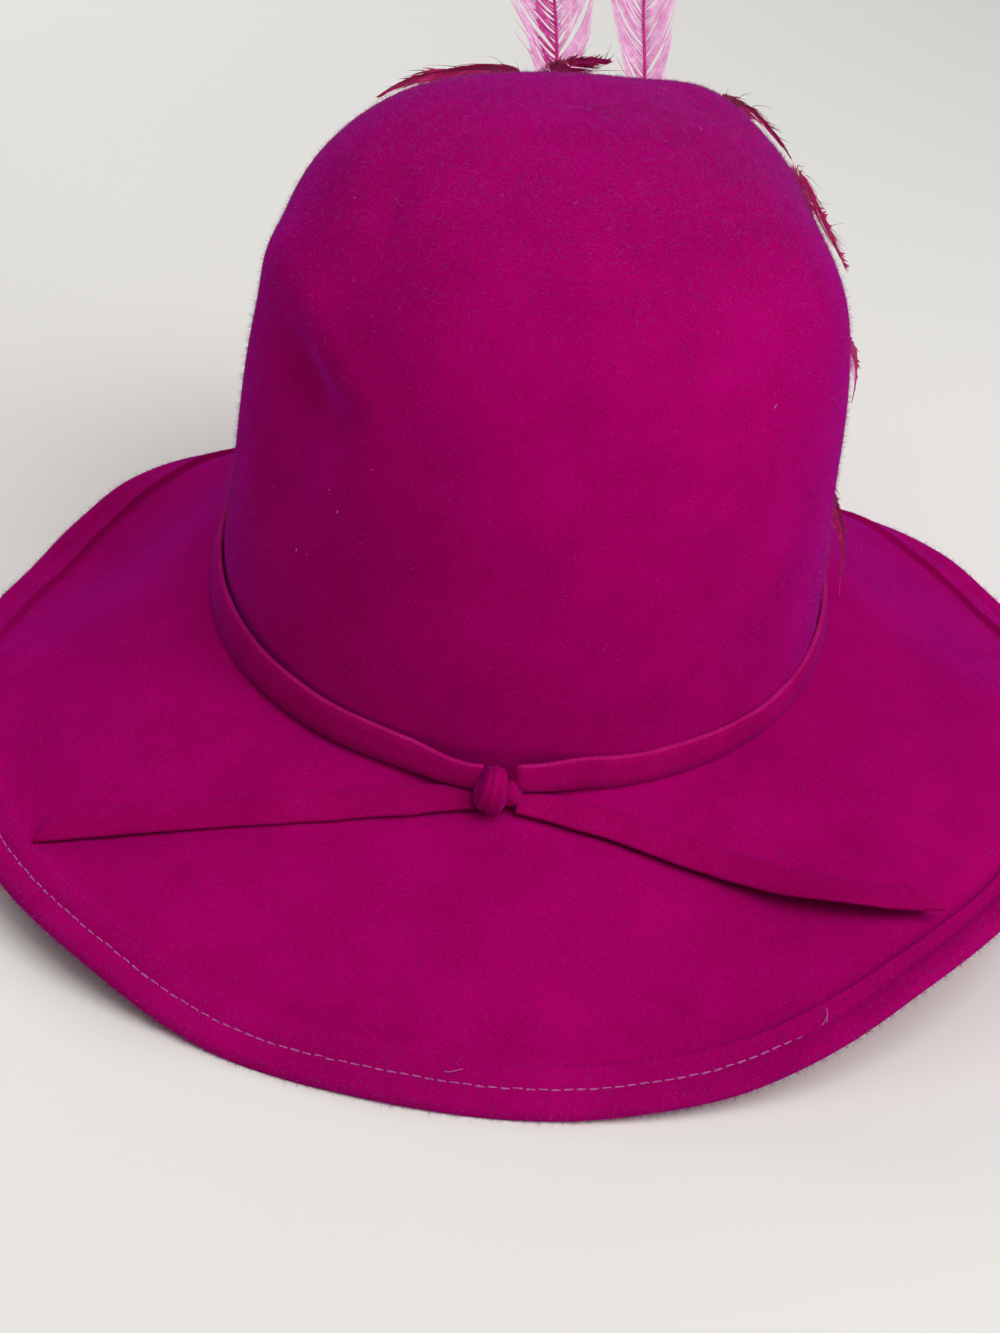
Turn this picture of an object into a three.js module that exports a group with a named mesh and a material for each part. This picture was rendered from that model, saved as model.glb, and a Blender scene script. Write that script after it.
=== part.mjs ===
// Wide-brimmed wool felt hat: domed crown, drooping brim with a folded hem,
// a narrow felt band tied in front, and a feather trim at the back.
// Millimetres, +Z up, the wearer's front towards -Y. Turn angles run from the
// front (0) towards +X (90) and round the back (180).
import * as THREE from 'three';
import { mergeVertices } from 'three/addons/utils/BufferGeometryUtils.js';

const radians = THREE.MathUtils.degToRad;
const AROUND = 64;

// Felt hood: driving sizes
const FELT = 2.2;
const BASE_RISE = 43;
const CROWN_CENTRE = { x: -2.54, y: 5.74 };
const CROWN = {
  halfWidth: 86, halfDepth: 103, height: 133, squareness: 2.12,
  sideTaper: 0.126, sideShoulder: 49.7, sideRound: 3.41,
  depthTaper: 0.058, depthShoulder: 51.4, depthRound: 2.48,
  lean: 2.3, pitch: 0.0213, baseTilt: 0.03,
};
const THROAT_RADIUS = 3.5;
const HEM = { width: 10.8, step: 0.8 };

// Brim edge: reach is from the crown's axis, rise is above the rest plane.
// footSlope and lipSlope are the brim's fall at the crown and at the hem,
// each as a share of its mean fall
const BRIM_EDGE = [
  { turn: -180, reach: 168, rise: 1.6, footSlope: 0.9, lipSlope: 1.1 },
  { turn: -160, reach: 165, rise: 1.4, footSlope: 0.9, lipSlope: 1.1 },
  { turn: -140, reach: 160.5, rise: 1.4, footSlope: 1, lipSlope: 0.95 },
  { turn: -131, reach: 161.5, rise: 4.4, footSlope: 1.1, lipSlope: 0.8 },
  { turn: -122, reach: 160.5, rise: 5.6, footSlope: 1.5, lipSlope: 0.0 },
  { turn: -111, reach: 157.5, rise: 4.2, footSlope: 1.6, lipSlope: -0.2 },
  { turn: -100, reach: 156.5, rise: 3.2, footSlope: 1.6, lipSlope: -0.2 },
  { turn: -90, reach: 158.5, rise: 4.9, footSlope: 1.5, lipSlope: 0.1 },
  { turn: -76, reach: 164, rise: 9.5, footSlope: 1.2, lipSlope: 0.7 },
  { turn: -58, reach: 171, rise: 14.2, footSlope: 1, lipSlope: 0.9 },
  { turn: -42, reach: 177, rise: 12.6, footSlope: 0.9, lipSlope: 1.1 },
  { turn: -30, reach: 179, rise: 8.9, footSlope: 0.9, lipSlope: 1.1 },
  { turn: -25, reach: 179, rise: 4.4, footSlope: 0.9, lipSlope: 1.1 },
  { turn: -20, reach: 179, rise: 1.8, footSlope: 0.9, lipSlope: 1.1 },
  { turn: -8, reach: 179.2, rise: 1.3, footSlope: 0.9, lipSlope: 1.1 },
  { turn: 3, reach: 179.6, rise: 1.6, footSlope: 0.9, lipSlope: 1.1 },
  { turn: 14, reach: 180.4, rise: 4, footSlope: 0.9, lipSlope: 1.1 },
  { turn: 21, reach: 181, rise: 8, footSlope: 0.9, lipSlope: 1.1 },
  { turn: 28, reach: 182, rise: 17.5, footSlope: 1, lipSlope: 1 },
  { turn: 35, reach: 182, rise: 28.2, footSlope: 1, lipSlope: 1 },
  { turn: 42, reach: 181, rise: 34.6, footSlope: 1, lipSlope: 1 },
  { turn: 55, reach: 176, rise: 36.8, footSlope: 1, lipSlope: 1 },
  { turn: 75, reach: 169, rise: 31, footSlope: 1.3, lipSlope: 0.5 },
  { turn: 92, reach: 163.5, rise: 20.5, footSlope: 1.5, lipSlope: 0.0 },
  { turn: 109, reach: 162, rise: 13.3, footSlope: 1.6, lipSlope: -0.2 },
  { turn: 121, reach: 163, rise: 10.8, footSlope: 1.5, lipSlope: 0.0 },
  { turn: 131, reach: 163, rise: 6.6, footSlope: 1.1, lipSlope: 0.9 },
  { turn: 140, reach: 162, rise: 1.4, footSlope: 1, lipSlope: 1 },
  { turn: 160, reach: 165, rise: 1.4, footSlope: 0.9, lipSlope: 1.1 },
];

// Crown relief: dents and swellings, each an oval on the crown's face. Push is
// outward when positive, wide and high are half-spreads, slant is the angle
// its wide way makes with level
const RELIEF = [
  { turn: -50, rise: 66, push: -4.8, wide: 19, high: 20, slant: 0 },
  { turn: -48, rise: 82, push: -2.2, wide: 14, high: 9, slant: -25 },
  { turn: -64, rise: 98, push: 3.2, wide: 28, high: 10, slant: 5 },
  { turn: -44, rise: 120, push: -1.6, wide: 6, high: 14, slant: 40 },
  { turn: -3, rise: 103, push: 1.4, wide: 56, high: 14, slant: -6 },
  { turn: 62, rise: 101, push: 1.8, wide: 36, high: 12, slant: -9 },
  { turn: 96, rise: 112, push: -4.6, wide: 34, high: 26, slant: -38 },
  { turn: 139, rise: 126, push: 2.8, wide: 24, high: 10, slant: -23 },
  { turn: -114, rise: 122, push: -3.0, wide: 44, high: 9, slant: -34 },
];
const RELIEF_DEPTH = 60;

// Band: low and high edges above the crown's foot, gap between it and the felt
const BAND_THICK = 1.4;
const BAND = [
  { turn: -180, low: 1.2, high: 9.2, gap: 0.0 },
  { turn: -120, low: 1.2, high: 9.2, gap: 0.0 },
  { turn: -80, low: 1.2, high: 9.4, gap: 0.5 },
  { turn: -55, low: 1.0, high: 10.2, gap: 1.1 },
  { turn: -32, low: 0.9, high: 9.6, gap: 0.6 },
  { turn: -14, low: 0.9, high: 8.6, gap: 0.6 },
  { turn: -3.6, low: 1.6, high: 7.4, gap: 3.4 },
  { turn: 3.4, low: 2.0, high: 8.4, gap: 3.0 },
  { turn: 11, low: 0.9, high: 8.6, gap: 0.4 },
  { turn: 26, low: 0.9, high: 8.4, gap: 0.0 },
  { turn: 55, low: 0.8, high: 7.2, gap: 0.0 },
  { turn: 85, low: 1.0, high: 7.6, gap: 0.0 },
  { turn: 130, low: 1.2, high: 9.0, gap: 0.0 },
];

// Knot: centre and half-sizes, at the crown's foot in front
const KNOT = { x: -0.6, y: -110.7, z: 41.2, halfWidth: 6.1, halfDepth: 5.8, halfHeight: 6.1 };

// Tails of the band: each row is a level place on the brim and the height of
// the tail's underside over the felt there. The tails narrow towards the knot
const TAIL = { width: 8.4, thick: 1.4, pinch: 0.72, pinchRows: 3, steps: 22, slantFrom: 0.9 };
const TAIL_LEFT = [
  { x: -5.9, y: -108.7, lift: 1.2 },
  { x: -14, y: -108.5, lift: 1.0 },
  { x: -26, y: -109.2, lift: 0.8 },
  { x: -45, y: -110.7, lift: 0.6 },
  { x: -66, y: -113.2, lift: 0.5 },
  { x: -92, y: -115.3, lift: 0.5 },
  { x: -113, y: -116.2, lift: 0.5 },
];
const TAIL_RIGHT = [
  { x: 4.7, y: -108.9, lift: 1.2 },
  { x: 14, y: -109.8, lift: 1.0 },
  { x: 24, y: -111.4, lift: 0.9 },
  { x: 34, y: -113.9, lift: 0.9 },
  { x: 46, y: -116.9, lift: 1.2 },
  { x: 55, y: -119.3, lift: 1.8 },
  { x: 64, y: -121.9, lift: 2.3 },
  { x: 72.5, y: -123.8, lift: 2.6 },
  { x: 81, y: -126, lift: 2.6 },
  { x: 89, y: -127.5, lift: 2.4 },
  { x: 99, y: -128.3, lift: 2.2 },
  { x: 108, y: -128.4, lift: 2.8 },
];

// Feather trim at the crown's back: a domed felt pad, and the feathers whose
// quills run out of its rim
const PAD = { turn: 173, rise: 19.5, halfWidth: 12, halfHeight: 9, seat: 0.4, thick: 3 };
const QUILL = { halfWidth: 1, thick: 1.1, vaneThick: 0.7, clear: 0.6, lift: 1.1 };
// fan is the quill's place round the pad's rim, bare the quill's share of the
// length, fullest where the vane is widest, locks the number of barb locks;
// points run from clear of the pad to the tip, each as x, y, z
const FEATHERS = [
  {
    name: 'plume_left', colour: '#e35cb2', fan: 120, halfWidth: 16, bare: 0.3, fullest: 0.66, locks: 9,
    points: [[1, 104.6, 100], [-4, 101.5, 130], [-5.5, 97, 156],
      [-8.5, 97.5, 177], [-15, 101, 200], [-26, 108, 221]],
  },
  {
    name: 'plume_right', colour: '#ea86c8', fan: 77, halfWidth: 12.5, bare: 0.3, fullest: 0.64, locks: 9,
    points: [[18, 103.8, 100], [21, 99.5, 130], [21, 95.5, 156],
      [18, 97, 179], [19, 101, 202], [25, 107, 224]],
  },
  {
    name: 'hackle_left', colour: '#8a0645', fan: 150, halfWidth: 7, bare: 0.22, fullest: 0.6, locks: 8,
    points: [[-9, 101.8, 92], [-13, 98, 118], [-15, 87, 142], [-18, 73, 159], [-26, 58, 167],
      [-38, 49, 167.2], [-48, 44.5, 164], [-56, 41.5, 159.5]],
  },
  {
    name: 'hackle_right', colour: '#8a0645', fan: 98, halfWidth: 6, bare: 0.25, fullest: 0.62, locks: 8,
    points: [[4, 101.8, 100], [3, 97, 125], [0, 87, 148], [-3, 72, 163], [0, 61, 170],
      [5, 55, 173.5], [11, 51.5, 176]],
  },
  {
    name: 'hackle_shoulder', colour: '#b00b57', fan: 50, halfWidth: 6, bare: 0.2, fullest: 0.6, locks: 8,
    points: [[33, 97.5, 98], [41, 88, 123], [45, 75, 146], [46, 60, 161], [47, 45, 168],
      [51, 33.5, 168.2], [57.2, 31.5, 162.8], [62, 31.5, 157.2]],
  },
  {
    name: 'hackle_side', colour: '#b8104f', fan: 27, halfWidth: 6, bare: 0.2, fullest: 0.6, locks: 8,
    points: [[42, 94, 90], [60, 78.5, 112], [67, 60, 131], [68, 43, 146], [67.3, 28, 150.4],
      [70.5, 19.5, 147.4], [72.4, 7, 146.8], [73.8, -3, 145.4], [76, -11, 142.6]],
  },
  {
    name: 'hackle_low', colour: '#c21862', fan: 1, halfWidth: 5, bare: 0.2, fullest: 0.55, locks: 7,
    points: [[48, 91.5, 77], [69, 69, 92], [81.4, 42, 104], [85.2, 16, 109.5],
      [84.6, -2, 110], [82.8, -13, 106.5]],
  },
  {
    name: 'hackle_brim', colour: '#a80d4c', fan: -21, halfWidth: 5, bare: 0.2, fullest: 0.55, locks: 7,
    points: [[49, 92.5, 61], [73.5, 69.5, 59.5], [87, 40, 57.5], [91.6, 15, 56.3],
      [91.6, 0, 54.5], [90.4, -12, 50.5]],
  },
];

// Smooth value of a column round a closed table of turns
function roundTable(table, column, turn) {
  const count = table.length;
  const span = (i) => {
    const step = table[(i + 1) % count].turn - table[i].turn;
    return step > 0 ? step : step + 360;
  };
  const first = table[0].turn;
  const wrapped = first + THREE.MathUtils.euclideanModulo(turn - first, 360);
  let i = count - 1;
  while (table[i].turn > wrapped) i -= 1;
  const before = (i + count - 1) % count;
  const after = (i + 1) % count;
  const rise = (j) => (table[(j + 1) % count][column] - table[j][column]) / span(j);
  const slopeHere = (rise(before) * span(i) + rise(i) * span(before)) / (span(i) + span(before));
  const slopeNext = (rise(i) * span(after) + rise(after) * span(i)) / (span(i) + span(after));
  const t = (wrapped - table[i].turn) / span(i);
  const fall = 2 * t ** 3 - 3 * t ** 2 + 1;
  return fall * table[i][column] + (1 - fall) * table[after][column]
    + (t ** 3 - 2 * t ** 2 + t) * slopeHere * span(i)
    + (t ** 3 - t ** 2) * slopeNext * span(i);
}

// Profile factor of the crown: 1 up to the shoulder, 0 at the top
function doming(rise, shoulder, roundness) {
  const u = THREE.MathUtils.clamp((rise - shoulder) / (CROWN.height - shoulder), 0, 1);
  return (1 - u ** roundness) ** (1 / roundness);
}

function oval(turn, halfWidth, halfDepth) {
  const power = 2 / CROWN.squareness;
  const s = Math.sin(radians(turn));
  const c = Math.cos(radians(turn));
  return [
    halfWidth * Math.sign(s) * Math.abs(s) ** power,
    -halfDepth * Math.sign(c) * Math.abs(c) ** power,
  ];
}

// Outer face of the crown at a height above its base, before any hollow
function crownFace(turn, rise) {
  const share = rise / CROWN.height;
  const [x, y] = oval(
    turn,
    CROWN.halfWidth * (1 - CROWN.sideTaper * share) * doming(rise, CROWN.sideShoulder, CROWN.sideRound),
    CROWN.halfDepth * (1 - CROWN.depthTaper * share) * doming(rise, CROWN.depthShoulder, CROWN.depthRound),
  );
  const tilt = y * (CROWN.pitch + CROWN.baseTilt * (1 - share));
  return new THREE.Vector3(x + CROWN.lean * share, y - CROWN.pitch * rise, BASE_RISE + rise + tilt);
}

function brimEdge(turn) {
  const reach = roundTable(BRIM_EDGE, 'reach', turn) - FELT;
  const angle = radians(turn);
  return new THREE.Vector3(
    reach * Math.sin(angle), -reach * Math.cos(angle), roundTable(BRIM_EDGE, 'rise', turn),
  );
}

// Upper face of the brim, along = 0 at the crown's foot and 1 at the fold
function brimFace(turn, along) {
  const foot = crownFace(turn, 0);
  const edge = brimEdge(turn);
  const point = new THREE.Vector3().lerpVectors(foot, edge, along);
  const s = THREE.MathUtils.clamp(along, 0, 1);
  const fall = roundTable(BRIM_EDGE, 'footSlope', turn) * (s ** 3 - 2 * s ** 2 + s)
    + roundTable(BRIM_EDGE, 'lipSlope', turn) * (s ** 3 - s ** 2)
    + 3 * s ** 2 - 2 * s ** 3 + (along - s);
  point.z = foot.z + (edge.z - foot.z) * fall;
  return point;
}

// Throat: the small round turn from the crown's wall into the brim
function throatFace(turn, quarter) {
  const angle = quarter * Math.PI / 2;
  const reach = brimEdge(turn).sub(crownFace(turn, 0)).setZ(0).length();
  const out = THROAT_RADIUS * (1 - Math.cos(angle));
  const point = brimFace(turn, out / reach);
  point.z += THROAT_RADIUS * (1 - Math.sin(angle));
  return point;
}

const DOME_ROWS = 9;
const WALL_ROWS = 5;
const THROAT_ROWS = 3;
const BRIM_ROWS = 6;
const HEM_ROWS = 3;

// Height of the crown's rows: round over the dome, even down the wall
function crownRise(row) {
  if (row <= DOME_ROWS) {
    const angle = Math.PI / 2 * (row / DOME_ROWS) ** 1.25;
    const spread = CROWN.height - CROWN.sideShoulder;
    return CROWN.sideShoulder + spread * Math.cos(angle) ** (2 / CROWN.sideRound);
  }
  const down = (row - DOME_ROWS) / WALL_ROWS;
  return CROWN.sideShoulder + (THROAT_RADIUS - CROWN.sideShoulder) * down;
}

// One continuous outer face: v counts rows from the crown's top to the fold
const V_THROAT = DOME_ROWS + WALL_ROWS;
const V_BRIM = V_THROAT + THROAT_ROWS;
const V_HEM = V_BRIM + BRIM_ROWS;
const V_FOLD = V_HEM + HEM_ROWS;
function outerFace(turn, v) {
  if (v <= V_THROAT) {
    return crownFace(turn, crownRise(v));
  }
  if (v <= V_BRIM) {
    return throatFace(turn, (v - V_THROAT) / THROAT_ROWS);
  }
  const reach = brimEdge(turn).sub(crownFace(turn, 0)).setZ(0).length();
  const start = THROAT_RADIUS / reach;
  const rawEdge = 1 - (HEM.width - FELT) / reach;
  if (v <= V_HEM) {
    return brimFace(turn, start + (rawEdge - start) * (v - V_BRIM) / BRIM_ROWS);
  }
  return brimFace(turn, rawEdge + (1 - rawEdge) * (v - V_HEM) / HEM_ROWS);
}

function outerNormal(turn, v) {
  if (v === 0) return new THREE.Vector3(0, 0, 1);
  const nudge = 0.02;
  const low = Math.max(v - nudge, 1e-4);
  const high = Math.min(v + nudge, V_FOLD);
  const along = outerFace(turn, high).sub(outerFace(turn, low));
  const across = outerFace(turn + 0.5, v).sub(outerFace(turn - 0.5, v));
  return along.cross(across).normalize();
}

// The relief table's spots as places and directions on the crown
const RELIEF_SPOTS = RELIEF.map((spot) => {
  const nudge = 0.5;
  const middle = crownFace(spot.turn, spot.rise);
  const level = crownFace(spot.turn + nudge, spot.rise).sub(middle).normalize();
  const below = crownFace(spot.turn, spot.rise - nudge);
  const out = new THREE.Vector3().crossVectors(level, middle.clone().sub(below)).normalize();
  level.applyAxisAngle(out, radians(spot.slant));
  const up = new THREE.Vector3().crossVectors(out, level);
  return { ...spot, middle, level, up, out };
});

function relief(point) {
  let push = 0;
  for (const spot of RELIEF_SPOTS) {
    const step = point.clone().sub(spot.middle);
    const across = step.dot(spot.level) / spot.wide;
    const along = step.dot(spot.up) / spot.high;
    const deep = step.dot(spot.out) / RELIEF_DEPTH;
    push += spot.push * Math.exp(-(across ** 2) - along ** 2 - deep ** 2);
  }
  return push;
}

// A point off the outer face, lifted along the face's own normal
function feltPoint(turn, v, lift) {
  const point = outerFace(turn, v);
  const push = v > V_THROAT ? 0 : relief(point);
  return point.addScaledVector(outerNormal(turn, v), lift + push);
}

// Closed solid from rings of points; the first and last rings are single poles
function solidFromRings(rings) {
  const corners = [];
  const triangle = (a, b, c) => corners.push(a, b, c);
  for (let r = 0; r + 1 < rings.length; r += 1) {
    const upper = rings[r];
    const lower = rings[r + 1];
    const count = Math.max(upper.length, lower.length);
    for (let i = 0; i < count; i += 1) {
      const j = (i + 1) % count;
      if (upper.length === 1) {
        triangle(upper[0], lower[i], lower[j]);
      } else if (lower.length === 1) {
        triangle(upper[i], lower[0], upper[j]);
      } else {
        triangle(upper[i], lower[i], lower[j]);
        triangle(upper[i], lower[j], upper[j]);
      }
    }
  }
  let volume = 0;
  for (let i = 0; i < corners.length; i += 3) {
    volume += corners[i].dot(corners[i + 1].clone().cross(corners[i + 2]));
  }
  if (volume < 0) corners.reverse();
  const geometry = new THREE.BufferGeometry().setFromPoints(corners);
  return mergeVertices(geometry, 1e-4);
}

function feltRing(v, lift) {
  if (v === 0) return [feltPoint(0, 0, lift)];
  const ring = [];
  for (let i = 0; i < AROUND; i += 1) ring.push(feltPoint(i * 360 / AROUND, v, lift));
  return ring;
}

const FOLD_STEPS = 5;
const INNER_STEP = 1.5;
const INNER_ROWS = 12;
function foldRing(step) {
  const angle = Math.PI * (0.5 - step / FOLD_STEPS);
  const ring = [];
  for (let i = 0; i < AROUND; i += 1) {
    const turn = i * 360 / AROUND;
    const normal = outerNormal(turn, V_FOLD);
    const outward = outerFace(turn, V_FOLD).sub(outerFace(turn, V_FOLD - 0.05)).normalize();
    ring.push(outerFace(turn, V_FOLD)
      .addScaledVector(normal, FELT * Math.sin(angle))
      .addScaledVector(outward, FELT * Math.cos(angle)));
  }
  return ring;
}

function makeHood() {
  const rings = [];
  for (let v = 0; v <= V_HEM; v += 1) rings.push(feltRing(v, 0));
  rings.push(feltRing(V_HEM + HEM.step / HEM.width * HEM_ROWS, FELT));
  for (let v = V_HEM + 1; v < V_FOLD; v += 1) rings.push(feltRing(v, FELT));
  for (let step = 0; step <= FOLD_STEPS; step += 1) rings.push(foldRing(step));
  for (let v = V_FOLD - INNER_STEP; v > V_BRIM; v -= INNER_STEP) rings.push(feltRing(v, -FELT));
  for (let k = INNER_ROWS; k >= 0; k -= 1) rings.push(feltRing(V_BRIM * k / INNER_ROWS, -FELT));
  for (const ring of rings) {
    for (const point of ring) point.z = Math.max(point.z, 0);
  }
  return solidFromRings(rings);
}

// Outward direction, level, of the crown's foot
function outward(turn) {
  const across = crownFace(turn + 0.5, 0).sub(crownFace(turn - 0.5, 0)).setZ(0).normalize();
  return new THREE.Vector3(across.y, -across.x, 0);
}

// Closed solid from a run of like cross-sections, capped at both ends
function solidFromSections(sections) {
  const middle = (section) => {
    const centre = new THREE.Vector3();
    for (const point of section) centre.addScaledVector(point, 1 / section.length);
    return [centre];
  };
  return solidFromRings([middle(sections[0]), ...sections, middle(sections[sections.length - 1])]);
}

const BAND_FOOT_OFFSET = 1.8;
const BAND_TOP_OFFSET = 0.5;
const BAND_STEPS = 60;
function makeBand() {
  const first = BAND.findIndex((row) => row.turn > 0);
  const start = BAND[first].turn;
  const end = BAND[first - 1].turn + 360;
  const sections = [];
  for (let i = 0; i <= BAND_STEPS; i += 1) {
    const turn = start + (end - start) * i / BAND_STEPS;
    const low = roundTable(BAND, 'low', turn);
    const high = roundTable(BAND, 'high', turn);
    const gap = Math.max(roundTable(BAND, 'gap', turn), 0);
    const side = outward(turn);
    const lowFoot = crownFace(turn, low).addScaledVector(side, BAND_FOOT_OFFSET + gap);
    const highFoot = crownFace(turn, high).addScaledVector(side, BAND_TOP_OFFSET + gap);
    const lowFace = lowFoot.clone().addScaledVector(side, BAND_THICK);
    const highFace = highFoot.clone().addScaledVector(side, BAND_THICK);
    sections.push([lowFoot, highFoot, highFace, lowFace]);
  }
  return solidFromSections(sections);
}

// Knot: a plump round of the strip, its folds drawn as a twist of its section
const KNOT_WRAP = 0.09;
const KNOT_AROUND = 14;
const KNOT_ROWS = 9;
function makeKnot() {
  const rings = [];
  for (let k = 0; k <= KNOT_ROWS; k += 1) {
    const polar = Math.PI * k / KNOT_ROWS;
    const count = k === 0 || k === KNOT_ROWS ? 1 : KNOT_AROUND;
    const ring = [];
    for (let i = 0; i < count; i += 1) {
      const angle = 2 * Math.PI * i / KNOT_AROUND;
      const wrap = 1 - KNOT_WRAP * Math.cos(2 * angle + 2 * polar) * Math.sin(polar) - KNOT_WRAP;
      ring.push(new THREE.Vector3(
        KNOT.x + KNOT.halfWidth * wrap * Math.sin(polar) * Math.cos(angle),
        KNOT.y + KNOT.halfDepth * wrap * Math.sin(polar) * Math.sin(angle),
        KNOT.z + KNOT.halfHeight * wrap * Math.cos(polar),
      ));
    }
    rings.push(ring);
  }
  return solidFromRings(rings);
}

// The brim's turn and along under a level point, found by halving
function brimPlace(x, y) {
  const off = (turn) => {
    const foot = crownFace(turn, 0);
    const edge = brimEdge(turn);
    return (x - foot.x) * (edge.y - foot.y) - (y - foot.y) * (edge.x - foot.x);
  };
  const guess = THREE.MathUtils.radToDeg(Math.atan2(x, -y));
  let low = guess - 20;
  let high = guess + 20;
  const sign = Math.sign(off(low));
  for (let i = 0; i < 30; i += 1) {
    const middle = (low + high) / 2;
    if (Math.sign(off(middle)) === sign) low = middle;
    else high = middle;
  }
  const foot = crownFace(low, 0).setZ(0);
  const edge = brimEdge(low).setZ(0);
  const along = new THREE.Vector3(x, y, 0).sub(foot).length() / edge.sub(foot).length();
  return { turn: low, along };
}

function brimNormal(turn, along) {
  const out = brimFace(turn, along + 0.01).sub(brimFace(turn, along - 0.01));
  const across = brimFace(turn + 0.5, along).sub(brimFace(turn - 0.5, along));
  return out.cross(across).normalize();
}

// A flat felt tail laid on the brim along its table, its end cut on a slant
function makeTail(table, slant) {
  const points = table.map((row) => {
    const { turn, along } = brimPlace(row.x, row.y);
    return brimFace(turn, along).addScaledVector(brimNormal(turn, along), row.lift + TAIL.thick / 2);
  });
  const curve = new THREE.CatmullRomCurve3(points, false, 'centripetal');
  const sections = [];
  for (let i = 0; i <= TAIL.steps; i += 1) {
    const share = i / TAIL.steps;
    const centre = curve.getPointAt(share);
    const tangent = curve.getTangentAt(share);
    const { turn, along } = brimPlace(centre.x, centre.y);
    const normal = brimNormal(turn, along);
    const side = new THREE.Vector3().crossVectors(normal, tangent).normalize();
    if (side.y > 0) side.negate();
    const face = new THREE.Vector3().crossVectors(tangent, side).normalize();
    if (face.z < 0) face.negate();
    const width = Math.min(1, TAIL.pinch + (1 - TAIL.pinch) * i / TAIL.pinchRows);
    const skew = slant * Math.max(0, share - TAIL.slantFrom) / (1 - TAIL.slantFrom);
    const corner = (across, up) => centre.clone()
      .addScaledVector(side, TAIL.width / 2 * width * across)
      .addScaledVector(tangent, skew * (across - 1) / 2)
      .addScaledVector(face, TAIL.thick / 2 * up);
    const order = tangent.x > 0 ? 1 : -1;
    sections.push([corner(order, -1), corner(order, 1), corner(-order, 1), corner(-order, -1)]);
  }
  return solidFromSections(sections);
}

// A point near the pad: its angle round the pad's middle, its distance as a
// share of the pad's half-sizes plus a step beyond, and its lift off the crown
function padPoint(angle, share, beyond, lift) {
  const reach = crownFace(PAD.turn, PAD.rise).setZ(0).length();
  const across = (PAD.halfWidth * share + beyond) * Math.cos(angle);
  const up = (PAD.halfHeight * share + beyond) * Math.sin(angle);
  const turn = PAD.turn - THREE.MathUtils.radToDeg(across / reach);
  return crownFace(turn, PAD.rise + up).addScaledVector(outward(turn), lift);
}

// Profile of the pad from its middle: share of its half-sizes, and the height
// over the crown, which is part of the pad's thickness
const PAD_PROFILE = [
  { share: 0, height: 1 },
  { share: 0.55, height: 0.92 },
  { share: 0.88, height: 0.7 },
  { share: 1, height: 0.4 },
  { share: 1, height: 0.1 },
  { share: 0.93, height: 0 },
  { share: 0.5, height: 0 },
  { share: 0, height: 0 },
];
const PAD_AROUND = 24;
function makePad() {
  return solidFromRings(PAD_PROFILE.map(({ share, height }) => {
    const ring = [];
    const count = share === 0 ? 1 : PAD_AROUND;
    for (let i = 0; i < count; i += 1) {
      const angle = 2 * Math.PI * i / PAD_AROUND;
      ring.push(padPoint(angle, share, 0, PAD.seat + PAD.thick * height));
    }
    return ring;
  }));
}

// One feather: a quill that opens into a vane of barb locks, one closed solid.
// A lock swells between its neighbours, and the vane faces away from an axis
// up the crown's middle, from its top on away from one place
const LOCK = { swell: 1.12, waist: 0.9 };
const VANE_FULLNESS = 0.8;
const QUILL_TAPER = 0.6;
const FACING_TOP = 110;
function makeFeather(feather) {
  const root = padPoint(radians(feather.fan), 1, QUILL.clear, QUILL.lift);
  const curve = new THREE.CatmullRomCurve3(
    [root, ...feather.points.map((point) => new THREE.Vector3(...point))], false, 'centripetal',
  );
  const peak = Math.log(0.5) / Math.log(feather.fullest);
  const steps = 2 * feather.locks;
  const axis = new THREE.Vector3(0, 0, FACING_TOP);
  const sections = [];
  for (let i = 0; i <= steps; i += 1) {
    const u = i / steps;
    const centre = curve.getPointAt(u);
    const tangent = curve.getTangentAt(u);
    const away = centre.clone().sub(axis.clone().setZ(Math.min(centre.z, axis.z)));
    const face = away.addScaledVector(tangent, -away.dot(tangent)).normalize();
    const side = new THREE.Vector3().crossVectors(tangent, face);
    const t = THREE.MathUtils.clamp((u - feather.bare) / (1 - feather.bare), 0, 1);
    const lock = i % 2 ? LOCK.swell : LOCK.waist;
    const vane = feather.halfWidth * Math.sin(Math.PI * t ** peak) ** VANE_FULLNESS * lock;
    const half = Math.max(QUILL.halfWidth * (1 - QUILL_TAPER * u), vane || 0);
    const edge = t > 0 ? QUILL.vaneThick / 2 : QUILL.thick / 2;
    const middle = QUILL.thick / 2;
    const corner = (across, up) => centre.clone()
      .addScaledVector(side, half * across).addScaledVector(face, up);
    sections.push([
      corner(-1, -edge), corner(-1, edge), corner(0, middle), corner(1, edge),
      corner(1, -edge), corner(0, -middle),
    ]);
  }
  return solidFromSections(sections);
}

function felt(colour) {
  return new THREE.MeshStandardMaterial({ color: colour, roughness: 0.95, metalness: 0 });
}

const hat = new THREE.Group();
function add(name, geometry, material) {
  const mesh = new THREE.Mesh(geometry, material);
  mesh.name = name;
  hat.add(mesh);
}

add('felt_hood', makeHood(), felt('#99045e'));
add('band', makeBand(), felt('#8c064d'));
add('knot', makeKnot(), felt('#85044d'));
add('tail_left', makeTail(TAIL_LEFT, 4), felt('#92055a'));
add('tail_right', makeTail(TAIL_RIGHT, 9), felt('#92055a'));
add('feather_pad', makePad(), felt('#8f0556'));
for (const feather of FEATHERS) {
  add(feather.name, makeFeather(feather), new THREE.MeshStandardMaterial({
    color: feather.colour, roughness: 0.6, metalness: 0,
  }));
}

hat.position.set(CROWN_CENTRE.x, CROWN_CENTRE.y, 0);

export default hat;
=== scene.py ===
import math

import bpy
import numpy as np
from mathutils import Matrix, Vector, kdtree, noise


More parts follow.
